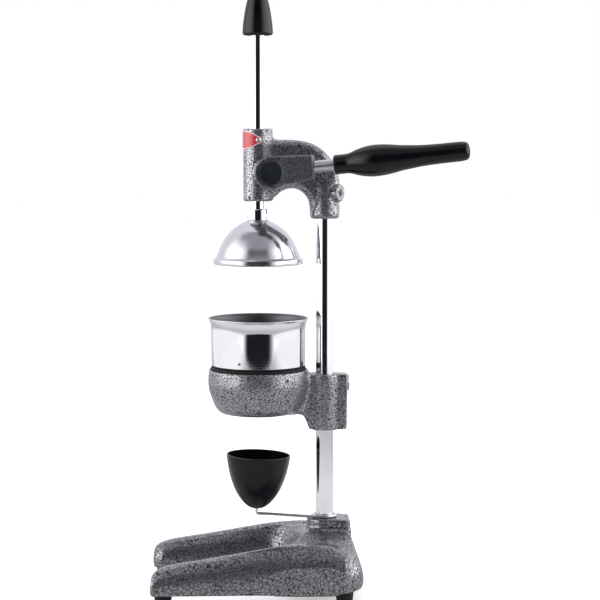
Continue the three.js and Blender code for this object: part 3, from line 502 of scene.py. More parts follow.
def axis_frame(direction):
    """Rows: two directions across, then the direction itself."""
    along = np.array(direction, float)
    along /= np.linalg.norm(along)
    if abs(along[2]) >= 0.9:
        side = np.array([1.0, 0, 0])
    else:
        side = np.cross(along, [0, 0, 1])
        side /= np.linalg.norm(side)
    return np.array([side, np.cross(along, side), along])


def place(shape, at, along=(0, 0, 1)):
    verts, faces, values = shape
    return np.array(verts) @ axis_frame(along) + np.array(at, float), faces, values


def lathe(profile, seg=96, at=(0, 0, 0), along=(0, 0, 1)):
    """A turned shape: the profile's second number runs along the axis. The attribute "arc" is the
    distance along the profile in metres."""
    p = [np.array(q, float) for q in profile]
    closed = np.linalg.norm(p[0] - p[-1]) < 1e-9
    if closed:
        p = p[:-1]
    lengths = [0.0]
    for a, b in zip(p, p[1:]):
        lengths.append(lengths[-1] + float(np.linalg.norm(b - a)))
    rings, verts, arc = [], [], []
    for (radius, z), length in zip(p, lengths):
        # A point on the axis is one vertex.
        new = [(0, 0, z)] if radius < 1e-7 else ring(radius, z, seg)
        rings.append(range(len(verts), len(verts) + len(new)))
        verts += new
        arc += [length] * len(new)
    faces = []
    for a, b in list(zip(rings, rings[1:])) + ([(rings[-1], rings[0])] if closed else []):
        if len(a) == 1 and len(b) == 1:
            continue
        for j in range(seg):
            k = (j + 1) % seg
            if len(a) == 1:
                faces.append((a[0], b[k], b[j]))
            elif len(b) == 1:
                faces.append((a[j], a[k], b[0]))
            else:
                faces.append((a[j], a[k], b[k], b[j]))
    return place((verts, faces, {"arc": np.array(arc) * MM}), at, along)


def ring(radius, z, seg, hexed=False, limit=math.inf):
    """A circle, or a hexagon of that inner radius with its corners held to `limit`."""
    out = []
    for j in range(seg):
        a = 2 * math.pi * j / seg
        reach = radius / math.cos((a % (math.pi / 3)) - math.pi / 6) if hexed else radius
        reach = min(reach, limit)
        out.append((reach * math.cos(a), reach * math.sin(a), z))
    return out


def rings_mesh(rings, closed=False):
    """Rings with the same number of points, joined in order and capped, or closed on themselves."""
    n, count = len(rings[0]), len(rings)
    verts = [q for points in rings for q in points]
    faces = []
    for i in range(count if closed else count - 1):
        above = (i + 1) % count
        for j in range(n):
            k = (j + 1) % n
            faces.append((i * n + j, i * n + k, above * n + k, above * n + j))
    for i, flip in () if closed else ((0, True), (count - 1, False)):
        centre = len(verts)
        verts.append(np.mean(rings[i], axis=0))
        for j in range(n):
            a, b = i * n + j, i * n + (j + 1) % n
            faces.append((centre, b, a) if flip else (centre, a, b))
    return np.array(verts, float), faces, {}


def signed_volume(verts, faces):
    total = 0.0
    for size in (3, 4):
        some = np.array([f for f in faces if len(f) == size], int).reshape(-1, size)
        a = verts[some[:, 0]]
        for i in range(1, size - 1):
            b, c = verts[some[:, i]], verts[some[:, i + 1]]
            total += float(np.einsum("ij,ij->", a, np.cross(b, c)))
    return total


def new_mesh(name, verts, faces):
    """Points in the script's millimetres, mesh in the row frame's metres."""
    mesh = bpy.data.meshes.new(name)
    mesh.from_pydata(((np.asarray(verts) + OFFSET) * MM).tolist(), [], faces)
    return mesh


def link_object(name, mesh):
    obj = bpy.data.objects.new(name, mesh)
    bpy.context.scene.collection.objects.link(obj)
    return obj


def piece(name, shape, look, node=None, sharp=32.0, weld=False):
    """One finished piece that stands for a CAD node (its own name by default) and moves with the
    node's body. Edges above `sharp` degrees stay crisp."""
    node = node or name
    verts, faces, values = shape
    if signed_volume(verts, faces) < 0:
        faces = [tuple(reversed(f)) for f in faces]
    mesh = new_mesh(name, verts, faces)
    for key, array in values.items():
        layer = mesh.attributes.new(key, "FLOAT", "POINT")
        layer.data.foreach_set("value", np.asarray(array, np.float32))
    if weld:
        bm = bmesh.new()
        bm.from_mesh(mesh)
        bmesh.ops.remove_doubles(bm, verts=bm.verts, dist=1e-6)
        bm.to_mesh(mesh)
        bm.free()
    mesh.validate()
    mesh.shade_smooth()
    mesh.set_sharp_from_angle(angle=sharp * DEG)
    mesh.materials.append(LOOKS[look])
    obj = link_object(name, mesh)
    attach(obj, frame["nodes"][node]["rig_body"])
    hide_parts(node)
    return obj


def cut_away(obj, cutters):
    """Takes closed shapes out of a piece for good."""
    for verts, faces, _ in cutters:
        mesh = new_mesh("cutter", verts, faces)
        mesh.validate()
        tool = link_object("cutter", mesh)
        modifier = obj.modifiers.new("cut", "BOOLEAN")
        modifier.operation = "DIFFERENCE"
        modifier.solver = "EXACT"
        modifier.object = tool
        bpy.context.view_layer.update()
        evaluated = obj.evaluated_get(bpy.context.evaluated_depsgraph_get())
        done = bpy.data.meshes.new_from_object(evaluated)
        obj.modifiers.remove(modifier)
        old = obj.data
        name = old.name
        obj.data = done
        bpy.data.meshes.remove(old)
        done.name = name
        bpy.data.objects.remove(tool)
        bpy.data.meshes.remove(mesh)
    obj.data.shade_smooth()
    obj.data.set_sharp_from_angle(angle=32 * DEG)


# ------------------------------------------------------------------ distance fields, negative inside
def pchip(knots, values, x):
    """Monotone cubic through the points, held level outside them."""
    knots, values = np.array(knots, float), np.array(values, float)
    h, d = np.diff(knots), np.diff(values) / np.diff(knots)  # spans and their slopes
    m = np.zeros(len(knots))  # slope at each knot
    for i in range(1, len(knots) - 1):
        if d[i - 1] * d[i] > 0:
            w1, w2 = 2 * h[i] + h[i - 1], h[i] + 2 * h[i - 1]
            m[i] = (w1 + w2) / (w1 / d[i - 1] + w2 / d[i])
    m[0], m[-1] = d[0], d[-1]
    x = np.clip(x, knots[0], knots[-1])
    i = np.clip(np.searchsorted(knots, x) - 1, 0, len(h) - 1)
    t = (x - knots[i]) / h[i]
    return (
        values[i] * (1 + 2 * t) * (1 - t) ** 2
        + values[i + 1] * t * t * (3 - 2 * t)
        + h[i] * (m[i] * t * (1 - t) ** 2 - m[i + 1] * t * t * (1 - t))
    )


def stations(rows, at):
    """Each further column of the rows, smoothly followed over the first."""
    knots, *columns = zip(*rows)
    return [pchip(knots, column, at) for column in columns]


def join(a, b, blend):
    """Both fields together, with a fillet about `blend` wide."""
    h = np.clip(0.5 + 0.5 * (b - a) / blend, 0, 1)
    return b * (1 - h) + a * h - blend * h * (1 - h)


def trim(a, b, blend):
    """Only what lies inside both fields, with the edge eased."""
    return -join(-a, -b, blend)


def cut(body, hole, blend=0):
    return trim(body, -hole, blend) if blend else np.maximum(body, -hole)


def rounded_edge(a, b, radius):
    """What lies inside both fields, with the edge rounded to a radius."""
    a, b = a + radius, b + radius
    return np.minimum(np.maximum(a, b), 0) + np.hypot(np.maximum(a, 0), np.maximum(b, 0)) - radius


def rounded_box(u, v, half_u, half_v, radius):
    return rounded_edge(np.abs(u) - half_u, np.abs(v) - half_v, radius)


def polygon_field(px, py, poly):
    best = np.full(px.shape, 1e9)
    inside = np.zeros(px.shape, bool)
    for i, (ax, ay) in enumerate(poly):
        bx, by = poly[i - 1]
        ex, ey = bx - ax, by - ay
        length = ex * ex + ey * ey
        if length < 1e-12:
            continue
        wx, wy = px - ax, py - ay
        t = np.clip((wx * ex + wy * ey) / length, 0, 1)
        best = np.minimum(best, (wx - ex * t) ** 2 + (wy - ey * t) ** 2)
        cross = ex * wy - ey * wx
        up = (ay <= py) & (by > py) & (cross > 0)
        down = (ay > py) & (by <= py) & (cross < 0)
        inside ^= up | down
    return np.where(inside, -1, 1) * np.sqrt(best)


def turned_field(radius, heights, poly):
    """polygon_field of a turned outline: radius on an (x, y) grid, heights along z."""
    reach = np.arange(0, float(radius.max()) + 1.0, 0.4)
    flat = polygon_field(*np.meshgrid(reach, heights, indexing="ij"), poly)
    return np.stack([np.interp(radius, reach, flat[:, k]) for k in range(len(heights))], 2)


def true_distance(field, cell):
    slope = np.gradient(field, cell)
    steepness = np.sqrt(slope[0] ** 2 + slope[1] ** 2 + slope[2] ** 2)
    return field / np.clip(steepness, 1.0, None)


def screw_hole(off_axis, out):
    """A set screw's hole, from the distance off its axis and the distance out along it."""
    return np.maximum(off_axis - SCREW_BORE, SCREW_HOLE_START - out)


def grid(low, high, cell):
    axes = [np.arange(a - 1.5 * cell, b + 2.5 * cell, cell) for a, b in zip(low, high)]
    return axes, np.meshgrid(*axes, indexing="ij")


def skin(axes, field, cell):
    """The zero surface of a field as a quad mesh with its points drawn onto the surface."""
    f = np.where(np.abs(field) < 1e-6, 1e-6, field)
    nx, ny, nz = f.shape
    total = np.zeros((nx - 1, ny - 1, nz - 1, 3))
    count = np.zeros((nx - 1, ny - 1, nz - 1))
    corners = [(i, j, k) for i in (0, 1) for j in (0, 1) for k in (0, 1)]

    def block(c):
        """The field at one corner of every cell."""
        return f[c[0] : nx - 1 + c[0], c[1] : ny - 1 + c[1], c[2] : nz - 1 + c[2]]

    # One point per crossed cell: the mean of the crossings on its twelve edges.
    for axis in range(3):
        for c in corners:
            if c[axis]:
                continue
            end = list(c)
            end[axis] = 1
            a, b = block(c), block(end)
            crossing = (a < 0) != (b < 0)
            t = np.where(crossing, a / np.where(crossing, a - b, 1), 0)
            count += crossing
            for d in range(3):
                total[..., d] += np.where(crossing, c[d] + (t if d == axis else 0), 0)
    active = count > 0
    index = np.full(active.shape, -1)
    index[active] = np.arange(active.sum())
    local = total[active] / count[active][:, None]
    origin = np.array([a[0] for a in axes])
    points = (np.argwhere(active) + local) * cell + origin

    # One quad round every crossed grid edge.
    inside = f < 0
    quads = []
    for axis in range(3):
        p, q = [(1, 2), (2, 0), (0, 1)][axis]
        starts, ends = [slice(None)] * 3, [slice(None)] * 3
        starts[axis], ends[axis] = slice(0, -1), slice(1, None)
        a, b = inside[tuple(starts)], inside[tuple(ends)]
        where = np.argwhere(a != b)
        wp, wq = where[:, p], where[:, q]
        where = where[(wp > 0) & (wq > 0) & (wp < f.shape[p] - 1) & (wq < f.shape[q] - 1)]
        cells = []
        for dp, dq in ((1, 1), (0, 1), (0, 0), (1, 0)):
            w = where.copy()
            w[:, p] -= dp
            w[:, q] -= dq
            cells.append(index[tuple(w.T)])
        faces = np.stack(cells, 1)
        out = a[tuple(where.T)]
        faces[~out] = faces[~out][:, ::-1]
        quads.append(faces)

    gradient = np.gradient(f, cell)

    def sample(values, at):
        u = np.clip((at - origin) / cell, 0, np.array(f.shape) - 1.001)
        i = u.astype(int)
        t = u - i
        result = 0
        for c in corners:
            near = [np.abs(1 - c[d] - t[:, d]) for d in range(3)]
            weight = near[0] * near[1] * near[2]
            result = result + weight * values[i[:, 0] + c[0], i[:, 1] + c[1], i[:, 2] + c[2]]
        return result

    # Two rounds of drawing the points onto the surface.
    for _ in range(2):
        g = np.stack([sample(c, points) for c in gradient], 1)
        step = (sample(f, points) / np.clip((g**2).sum(1), 0.2, None))[:, None] * g
        length = np.linalg.norm(step, axis=1, keepdims=True)
        points = points - step * np.minimum(1, 0.35 * cell / np.clip(length, 1e-9, None))
    return points, [tuple(q) for q in np.concatenate(quads).tolist()], {}


# ------------------------------------------------------------------ castings
# x, half width, top z, underside z
LEG_STATIONS = [
    (-234, 11.5, 31, 20), (-232.5, 14.5, 39, 17.6), (-228, 17.5, 46, 17), (-219, 19.5, 51.5, 17),
    (-203, 20, 55.5, 17), (-164, 20.3, 61.5, 17), (-124, 20.8, 68, 17), (-92, 21.4, 73.3, 17),
    (-60, 22, 77.3, 17), (-30, 22.5, 79.3, 17), (0, 22, 77, 17), (20, 16, 68, 20),
]
# z, rear x, half width, rear corner radius
YOKE_STATIONS = [
    (17, 45.5, 97, 40), (20, 47.5, 99, 41), (30, 48.8, 101, 42), (40, 47.6, 101.3, 42),
    (49, 45, 100, 41), (58, 41.4, 96.5, 39), (66, 37.6, 90, 36), (72, 35.6, 80, 32),
    (77, 34.6, 60, 25), (82, 34.2, 38, 14), (86, 33.8, 26, 8),
]
# how far back from the yoke's front, how far to each side, z
BAY_ROWS = [
    (57.6, 57.7, 17), (58, 57.8, 31), (59, 59.5, 40), (60, 62.9, 50), (62, 67.2, 59),
    (64.5, 73, 66), (69, 80, 77), (78, 92, 88),
]


def base_casting():
    """Two arched legs joined at the rear by a yoke with a rounded bay in front; hollow below."""
    cell = 1.8
    axes, (x, y, z) = grid((-235, -102.5, 16), (55, 102.5, 102), cell)
    half_width, top, bottom = stations(LEG_STATIONS, axes[0][:, None, None])
    middle = BASE_HALF_WIDTH - half_width

    def leg(inset, floor):
        # An arch in section: the sides lean in from low down.
        width, height = half_width - inset, top - inset
        rise, bend = (height - bottom) * 0.72, width * 0.92
        u = np.maximum(np.abs(np.abs(y) - middle) - (width - bend), 0) / bend
        above = np.maximum(z - (height - rise), 0) / rise
        arch = true_distance((np.hypot(u, above) - 1) * np.maximum(bend, rise), cell)
        arch = trim(arch, (bottom if floor is None else floor) - z, 1.5)
        return trim(trim(arch, -234 + inset - x, 3.0), x - 24, 2.0)

    rear, half_depth, corner = stations(YOKE_STATIONS, axes[2][None, None, :])
    round_bay = np.hypot(x - YOKE_FRONT, y)[:, :, 0]
    facing_back = (x - YOKE_FRONT)[:, :, 0] / np.clip(round_bay, 1, None)
    backwards = (np.clip(facing_back, 0, 1) ** 2)[:, :, None]

    def bay(column, inset):
        wider = inset + 8 * column
        wall = [(57.6 + wider, 2)] + [(row[column] + wider, row[2]) for row in BAY_ROWS]
        line = [(-1, 2)] + wall + [(wall[-1][0], 115), (-1, 115)]
        return turned_field(round_bay, axes[2], line)

    def yoke(inset, low, high):
        centre = (YOKE_FRONT + rear) / 2
        radius = np.where(x > centre, np.maximum(corner - inset, 4), 8.0)
        ease = np.clip((x - YOKE_FRONT) / 62, 0, 1)
        block = rounded_box(
            x - centre,
            y,
            (rear - YOKE_FRONT) / 2 - inset,
            half_depth - inset - 8 * (1 - ease * ease * (3 - 2 * ease)),
            radius,
        )
        block = true_distance(block, cell)
        block = cut(block, bay(0, inset) * backwards + bay(1, inset) * (1 - backwards), 1.5)
        slope = [(-125, 48), (-110, 54), (-92, 64), (-60, 75), (-40, 80), (-25, 87)]
        above = [(sx, sz - inset) for sx, sz in slope] + [(-25, 140), (-125, 140)]
        block = cut(block, polygon_field(x[:, 0, :], z[:, 0, :], above)[:, None, :], 2.0)
        return trim(trim(block, low - z, 1.2), z - high, 3.0)

    body = join(leg(0, None), yoke(0, 17, 87), 10.0)
    body = np.maximum(body, np.abs(y) - BASE_HALF_WIDTH)
    # Boss round the column: round in front, squared behind, its top a little lower at the rear.
    boss = rounded_box(x - 5, y, 29, 24, np.where(x > 5, 5.0, 23.5))
    boss = trim(boss, z - (101.5 - np.clip((x - 14) / 16, 0, 1) * 1.4), 2.2)
    body = join(body, np.maximum(boss, 60 - z), 5.0)
    column = np.hypot(x, y)
    hollow = cut(np.minimum(leg(6, -40.0), yoke(7, -40, 72)), column - 22)
    for foot_x in FOOT_XS:
        hollow = cut(hollow, np.hypot(x - foot_x, np.abs(y) - FOOT_Y) - 9.5, 1.5)
    body = cut(body, hollow, 0.8)
    body = cut(body, np.maximum(column - COLUMN_BORE, COLUMN_FOOT - 0.5 - z))
    body = cut(body, screw_hole(np.hypot(y, z - BASE_SCREW_Z), x))
    return skin(axes, body, cell)


# x, z along the head's arch, front to rear
ARCH_TOP = [
    (-92, 607.5), (-78, 608.5), (-66, 610), (-56, 610), (-45, 610), (-32, 608.6), (-19, 605.6),
    (-5, 597.8), (6, 586.6), (13, 575.5), (17.3, 562.5), (18.6, 550),
]
ARCH_UNDERSIDE = [
    (-92, 552), (-77, 538), (-66.5, 535.5), (-59, 541.2), (-51, 544.8), (-42, 545.6),
    (-34.6, 543.4), (-27.6, 538.2), (-22.6, 531.4), (-20.2, 523.5), (-18.6, 516), (-17, 510.5),
]
# radius, z
HEAD_SOCKET = [
    (-1, 505), (14.5, 505), (17.6, 505.5), (19.1, 507.4), (19.6, 510), (19.6, 548), (18.6, 559),
    (15, 570), (9, 581), (-1, 587),
]


def head_casting():
    """An arch from the column's socket to the ram's guide, with bosses for the shaft and screw."""
    cell = 0.95
    axes, (x, y, z) = grid((-109.5, -21, 504), (26, 21, 625.5), cell)
    outline = curve(ARCH_TOP) + curve(ARCH_UNDERSIDE[::-1])
    flat = polygon_field(x[:, 0, :], z[:, 0, :], outline)[:, None, :]
    half = np.interp(axes[0], [-92, -78, -66, -5, 6, 18], [14, 15, 16, 16.4, 17, 18])
    body = rounded_edge(flat, np.abs(y) - half[:, None, None], 9.5)
    ram = np.hypot(x - RAM_X, y)
    guide = rounded_box(ram, z - 576.6, 19.5, 48, np.where(z > 577, 1.3, 2.6))
    body = join(body, guide, 8.0)
    column = np.hypot(x, y)
    body = join(body, turned_field(column[:, :, 0], axes[2], HEAD_SOCKET), 3.0)
    pin = np.hypot(x - PIN_X, z - PIN_Z)
    body = join(body, rounded_box(pin, y + 10.25, 20, 10.25, 1.2), 2.2)
    body = join(body, rounded_box(pin, y - 9.75, 16, 9.75, 1.2), 2.2)
    turn = HEAD_SCREW_TURN * DEG
    out = x * math.cos(turn) + y * math.sin(turn)
    screw = np.hypot(-x * math.sin(turn) + y * math.cos(turn), z - HEAD_SCREW_Z)
    body = join(body, rounded_box(screw, out - 14.1, 11.6, 10.1, 1.3), 2.0)
    body = cut(body, ram - RAM_BORE)
    body = cut(body, ram - RAM_BORE - (z - 623.0), 0.4)  # a small chamfer round the rod
    body = cut(body, np.maximum(column - COLUMN_BORE, z - (COLUMN_TOP + 0.5)))
    body = cut(body, np.maximum(pin - 13.2, y - 11))
    body = cut(body, pin - SHAFT_BORE)
    body = cut(body, screw_hole(screw, out))
    return skin(axes, body, cell)


# radius from the ram's axis, z
BOWL_OUTSIDE = [
    (45, 244), (51.6, 245.8), (56.2, 250.5), (59.3, 256), (62.7, 264.5), (66.4, 276.5),
    (67.3, 284), (67.2, 292), (66.7, 302.2),
]
BOWL_INSIDE = [(16.5, 249.6), (38, 254.5), (48, 262), (54, 276), (56, 292)]
# x, half width, underside z, top z
WEB_STATIONS = [
    (-58, 27, 249, 297), (-46, 24, 244.6, 298.6), (-36, 20.5, 243.4, 298.4),
    (-30, 18.6, 241.6, 298), (-26.5, 17.6, 236.5, 297.6), (-19.8, 16.6, 222.6, 297),
    (-6, 16, 222, 296.4),
]


def support_casting():
    """The cup's bowl, a web behind it and a tube round the column."""
    cell = 1.25
    axes, (x, y, z) = grid((-156.5, -68, 220.5), (34.5, 68, 304), cell)
    ram = np.hypot(x - RAM_X, y)[:, :, 0]
    lip = filleted([(66.7, 302.2), (66.5, 303.4, 0.7), (64, 303.4)])[1:]
    outside = [(-1, 244)] + curve(BOWL_OUTSIDE, steps=4) + lip + [(-1, 303.4)]
    body = turned_field(ram, axes[2], outside)
    column = np.hypot(x, y)
    half, low, high = stations(WEB_STATIONS, axes[0][:, None, None])
    corner = np.where(z > 275, 3.5, 6.5)
    web = rounded_box(y, z - (low + high) / 2, half, (high - low) / 2, corner)
    web = true_distance(trim(trim(web, -58 - x, 2), x + 6, 2), cell)
    body = join(body, web, 6.0)
    tube = filleted([
        (-1, 221.4), (18.4, 221.4, 1.6), (20.4, 288, 3), (20.3, 296.5, 1.6), (-1, 296.5),
    ])
    body = join(body, turned_field(column[:, :, 0], axes[2], tube), 3.0)
    heights = [222, 224, 294, 296.6]
    depth, half = (
        np.interp(axes[2], heights, values)[None, None, :]
        for values in ([28.6, 29.4, 30.8, 30.2], [12.2, 12.6, 13, 12.6])
    )
    rear = rounded_box(x - depth / 2, y, depth / 2, half, 2.6)
    body = join(body, trim(trim(rear, 222 - z, 1.6), z - 296.6, 1.6), 2.2)
    screw = np.hypot(y, z - SUPPORT_SCREW_Z)
    body = join(body, rounded_box(screw, x - 16.6, 10.5, 16.6, 0.9), 1.6)
    inside = [(-1, 240), (15.5, 240), (15.5, 249.4)] + curve(BOWL_INSIDE, steps=4)
    inside += [(56, 301.2), (64, 301.2), (64, 312), (-1, 312)]
    body = cut(body, turned_field(ram, axes[2], inside), 0.5)
    body = cut(body, column - COLUMN_BORE)
    body = cut(body, screw_hole(screw, x))
    return skin(axes, body, cell)


def lever_casting():
    """A hub on the pinion shaft and a tapering arm with a socket for the rod."""
    cell = 0.8
    axes, (x, y, z) = grid((-95.5, -71, 546), (-11, -22, 590.5), cell)
    px, py, pz = x - LEVER_FROM[0], y - LEVER_FROM[1], z - LEVER_FROM[2]
    out = px * LEVER_DIR[0] + py * LEVER_DIR[1] + pz * LEVER_DIR[2]
    across = np.cross(LEVER_DIR, [0, 0, 1])
    across /= np.linalg.norm(across)
    up = np.cross(across, LEVER_DIR)
    sideways = px * across[0] + py * across[1]
    upward = px * up[0] + py * up[1] + pz * up[2]
    # Plan of the arm: as wide as the hub at the shaft, then to the socket that takes the rod.
    heading = np.array([math.cos(LEVER_SPLAY), -math.sin(LEVER_SPLAY)])
    side = np.array([-heading[1], heading[0]]) * 12
    end = LEVER_FROM[:2] + heading * LEVER_ARM * math.cos(LEVER_RISE)
    plan = [
        (PIN_X - 6, -56), (PIN_X - 6, -30), (PIN_X + 2, -29.6), end + side, end - side,
        (PIN_X + 2, -56),
    ]
    flat = polygon_field(x[:, :, 0], y[:, :, 0], plan)[:, :, None]
    half_height = np.interp(out, [0, LEVER_ARM], [20.6, 15.6])
    arm = rounded_edge(flat, np.abs(upward) - half_height, 2.6)
    arm = trim(arm, out - LEVER_ARM, 2.0)
    pin = np.hypot(x - PIN_X, z - PIN_Z)
    body = join(arm, rounded_box(pin, y + 39.3, 21, 16.7, 1.9), 1.6)
    body = cut(body, np.maximum(pin - SHAFT_BORE - 0.2, -54.3 - y))
    body = cut(body, np.maximum(pin - 14.8, y + 56), 0.3)
    body = cut(body, np.maximum(np.hypot(sideways, upward) - 8.3, 24.7 - out))
    return skin(axes, body, cell)


piece("base", base_casting(), "hammertone_base", "base_casting", sharp=55)
piece("head", head_casting(), "hammertone", "head_casting", sharp=50)
piece("support", support_casting(), "hammertone", "cup_support", sharp=50)
# The lever arm wears the half-bright enamel copy: painted shade.
piece("lever_arm", lever_casting(), "hammertone_lever_shaded", "lever_casting", sharp=50)

# ------------------------------------------------------------------ feet
# Turned outlines from here on: radius, distance along the axis, fillet radius.
FOOT = filleted([
    (2.8, 9), (6.2, 9, 0.4), (6.2, 0, 0.4), (9.8, 0, 0.9), (10.5, 2.2, 0.6), (11.9, 16.2, 0.5),
    (11.6, 16.9, 0.3), (2.8, 16.9), (2.8, 9),
])
FOOT_SCREW = filleted([
    (0, 5.4), (1.6, 5.4, 0.1), (1.9, 4.7, 0.2), (4.2, 4.7, 0.6), (5, 5.7, 0.5), (5, 8.7, 0.2),
    (2.3, 8.7), (2.3, 29.6, 0.3), (0, 30),
])
for end_name, foot_x in zip(("front", "rear"), FOOT_XS):
    for side_name, side in (("near", -1), ("far", 1)):
        where = f"{end_name}_{side_name}"
        at = (foot_x, side * FOOT_Y, 0)
        piece("foot_" + where, lathe(FOOT, seg=72, at=at), "foot_rubber")
        piece("foot_screw_" + where, lathe(FOOT_SCREW, seg=40, at=at), "zinc_steel")

# ------------------------------------------------------------------ column and its screws
COLUMN = filleted([
    (0, COLUMN_FOOT), (COLUMN_RADIUS, COLUMN_FOOT, 0.6), (COLUMN_RADIUS, COLUMN_TOP, 1.2),
    (0, COLUMN_TOP),
])
piece("column", lathe(COLUMN, seg=160), "chrome")


def set_screw(z, turn, outer):
    """A headless screw pointing `turn` degrees from +X, with a six-sided socket outside."""
    inner, radius, socket = SCREW_START, SCREW_RADIUS, 2.0
    levels = [(2.2, inner), (2.4, inner + 0.1), (radius, inner + 1.7)]
    s = inner + 2.2
    while s < outer - 1.4:  # thread
        levels += [(radius - 0.42, s), (radius, s + 0.4), (radius, s + 0.55)]
        s += 0.95
    levels += [(radius, outer - 0.6), (radius - 0.15, outer - 0.2), (radius - 0.5, outer)]
    levels += [
        (socket + 0.25, outer, True), (socket, outer - 0.3, True), (socket, outer - 4.0, True),
        (socket / 2, outer - 4.4, True),
    ]
    shape = rings_mesh([ring(level[0], level[1], 48, *level[2:]) for level in levels])
    return place(shape, (0, 0, z), (math.cos(turn * DEG), math.sin(turn * DEG), 0))


for where, z, turn, outer in (
    ("base", BASE_SCREW_Z, 0, 30),
    ("head", HEAD_SCREW_Z, HEAD_SCREW_TURN, 22.4),
    ("support", SUPPORT_SCREW_Z, 0, 31),
):
    piece(where + "_screw", set_screw(z, turn, outer), "zinc_steel", where + "_set_screw")

# ------------------------------------------------------------------ enamelled plate on the guide
def badge():
    """A plain plate bent round the guide's front, narrowing to rounded ends. The attribute "edge"
    is the distance in from its edge in millimetres."""
    back, face = 19.72, 20.55  # radii

    def half_height(angle):
        s = abs(angle) / 90
        if s <= 1:
            return 5 + 7.7 * (1 - s**2.8)
        t = (s - 1) * 90 / 14.6
        return max(5 * math.sqrt(max(0, 1 - t * t)), 0.35)

    angles = [-104.2 + 208.4 * i / 240 for i in range(241)]
    across = [math.sin(math.pi / 2 * (2 * j / 24 - 1)) for j in range(25)]
    border = np.array([(face * a * DEG, half_height(a) * s) for a in angles for s in (-1, 1)])
    rings, edges = [], []
    for a in angles:
        cos, sin, half = -math.cos(a * DEG), math.sin(a * DEG), half_height(a)
        points = []
        for v in across:
            here = np.array([face * a * DEG, half * v])
            edge = float(np.min(np.hypot(*(border - here).T)))
            radius = face - 0.22 * max(0.0, 1 - edge / 0.4) ** 2
            points.append((RAM_X + radius * cos, radius * sin, BADGE_Z + half * v))
            edges.append(edge)
        for v in across[::-1]:
            points.append((RAM_X + back * cos, back * sin, BADGE_Z + half * v))
            edges.append(9.0)
        rings.append(points)
    verts, faces, _ = rings_mesh(rings)
    return verts, faces, {"edge": np.array(edges + [0.0, 0.0])}


piece("badge", badge(), "red_enamel", "badge_plate", sharp=45)
RIVET = filleted(
    [(0, 15), (1.5, 15, 0.3), (1.5, 20.62), (3.35, 20.62, 0.15), (3.3, 21.1)], steps=3
) + curve([(3.05, 21.6), (2.2, 22.35), (1.1, 22.8), (0, 22.9)])
for where, side in (("near", -1), ("far", 1)):
    rivet = lathe(RIVET, seg=48, at=(RAM_X, 0, BADGE_Z), along=(0, side, 0))
    piece("badge_rivet_" + where, rivet, "zinc_steel")

# ------------------------------------------------------------------ pinion shaft, washers and nut
PIN_HOLE = 7.45  # bore radius
shaft = frame["nodes"]["pinion_shaft"]
shaft.data.materials.clear()
shaft.data.materials.append(LOOKS["zinc_steel"])
THRUST_WASHER = filleted([
    (PIN_HOLE, -22.3), (16, -22.3, 0.3), (16, -20.7, 0.3), (PIN_HOLE, -20.7), (PIN_HOLE, -22.3),
])
RETAINING_WASHER = filleted([
    (PIN_HOLE, 19.7), (14, 19.7, 0.25), (14, 21.3, 0.35), (PIN_HOLE, 21.3, 0.2), (PIN_HOLE, 19.7),
])
piece("thrust_washer", lathe(THRUST_WASHER, at=PIN, along=(0, 1, 0)), "zinc_steel")
piece("retaining_washer", lathe(RETAINING_WASHER, at=PIN, along=(0, 1, 0)), "zinc_steel")


def hex_nut(low, high, corner, bore):
    """A nut with its corners turned off at both faces."""
    flat = corner * math.cos(math.pi / 6)
    rise = corner - flat + 0.1
    levels = [(bore, low + 0.3), (bore + 0.4, low), (flat - 0.25, low)]
    levels += [(flat - 0.1 + rise * i / 4, low + 0.1 + 0.9 * (i / 4) ** 1.3) for i in range(5)]
    levels += [
        (corner - rise * i / 4, high - 1.0 + 0.9 * (1 - (1 - i / 4) ** 1.3)) for i in range(5)
    ]
    levels += [(flat - 0.25, high), (bore + 0.4, high), (bore, high - 0.3)]
    rings = [ring(flat, s, 96, hexed=True, limit=limit) for limit, s in levels]
    return place(rings_mesh(rings, closed=True), PIN, (0, 1, 0))


nut = hex_nut(low=21.5, high=29.3, corner=12.7, bore=PIN_HOLE)
piece("retaining_nut", nut, "zinc_steel", sharp=25)

# ------------------------------------------------------------------ lever
CROSS_PIN = filleted([(0, -19.6), (2.25, -19.6, 0.4), (2.25, 19.6, 0.4), (0, 19.6)])
piece("lever_cross_pin", lathe(CROSS_PIN, seg=32, at=(PIN_X, -32, PIN_Z)), "zinc_steel")
LEVER_ROD = filleted([
    (0, 25), (LEVER_ROD_RADIUS, 25, 0.5), (LEVER_ROD_RADIUS, 150, 0.5), (0, 150),
])
piece("lever_rod", lathe(LEVER_ROD, at=LEVER_FROM, along=LEVER_DIR), "lever_steel")
GRIP = (
    [(0, 150.4)]
    + filleted([(8.2, 150.4), (8.2, 86), (12.5, 86, 1.0), (12.6, 90)], steps=6)
    + curve([
        (12.62, 94), (12.7, 101.5), (13.0, 104.6), (14.2, 109), (16.9, 117), (18.9, 125),
        (20.05, 132.5), (20.45, 140), (20.1, 149), (19.3, 156.5), (18.2, 164.4), (16.85, 172),
        (15.8, 180), (14.95, 188), (14.1, 196), (13.55, 204), (13.2, 212), (13.0, 220),
        (12.85, 228), (12.8, 236), (12.75, 244), (12.6, 251), (12.1, 256), (10.9, 259.6),
        (8.6, 261.7), (5.0, 262.7), (2, 262.9), (0, 262.95),
    ])
)
grip = lathe(GRIP, seg=128, at=LEVER_FROM, along=LEVER_DIR)
piece("lever_grip", grip, "gloss_black", sharp=40)
HUB_CAP = filleted([
    (0, 56.25), (14.4, 56.25, 0.2), (14.5, 58.5, 0.8), (13.6, 59.3, 0.6), (6, 59.7), (0, 59.8),
])
piece("hub_cap", lathe(HUB_CAP, at=PIN, along=(0, -1, 0)), "matte_black")


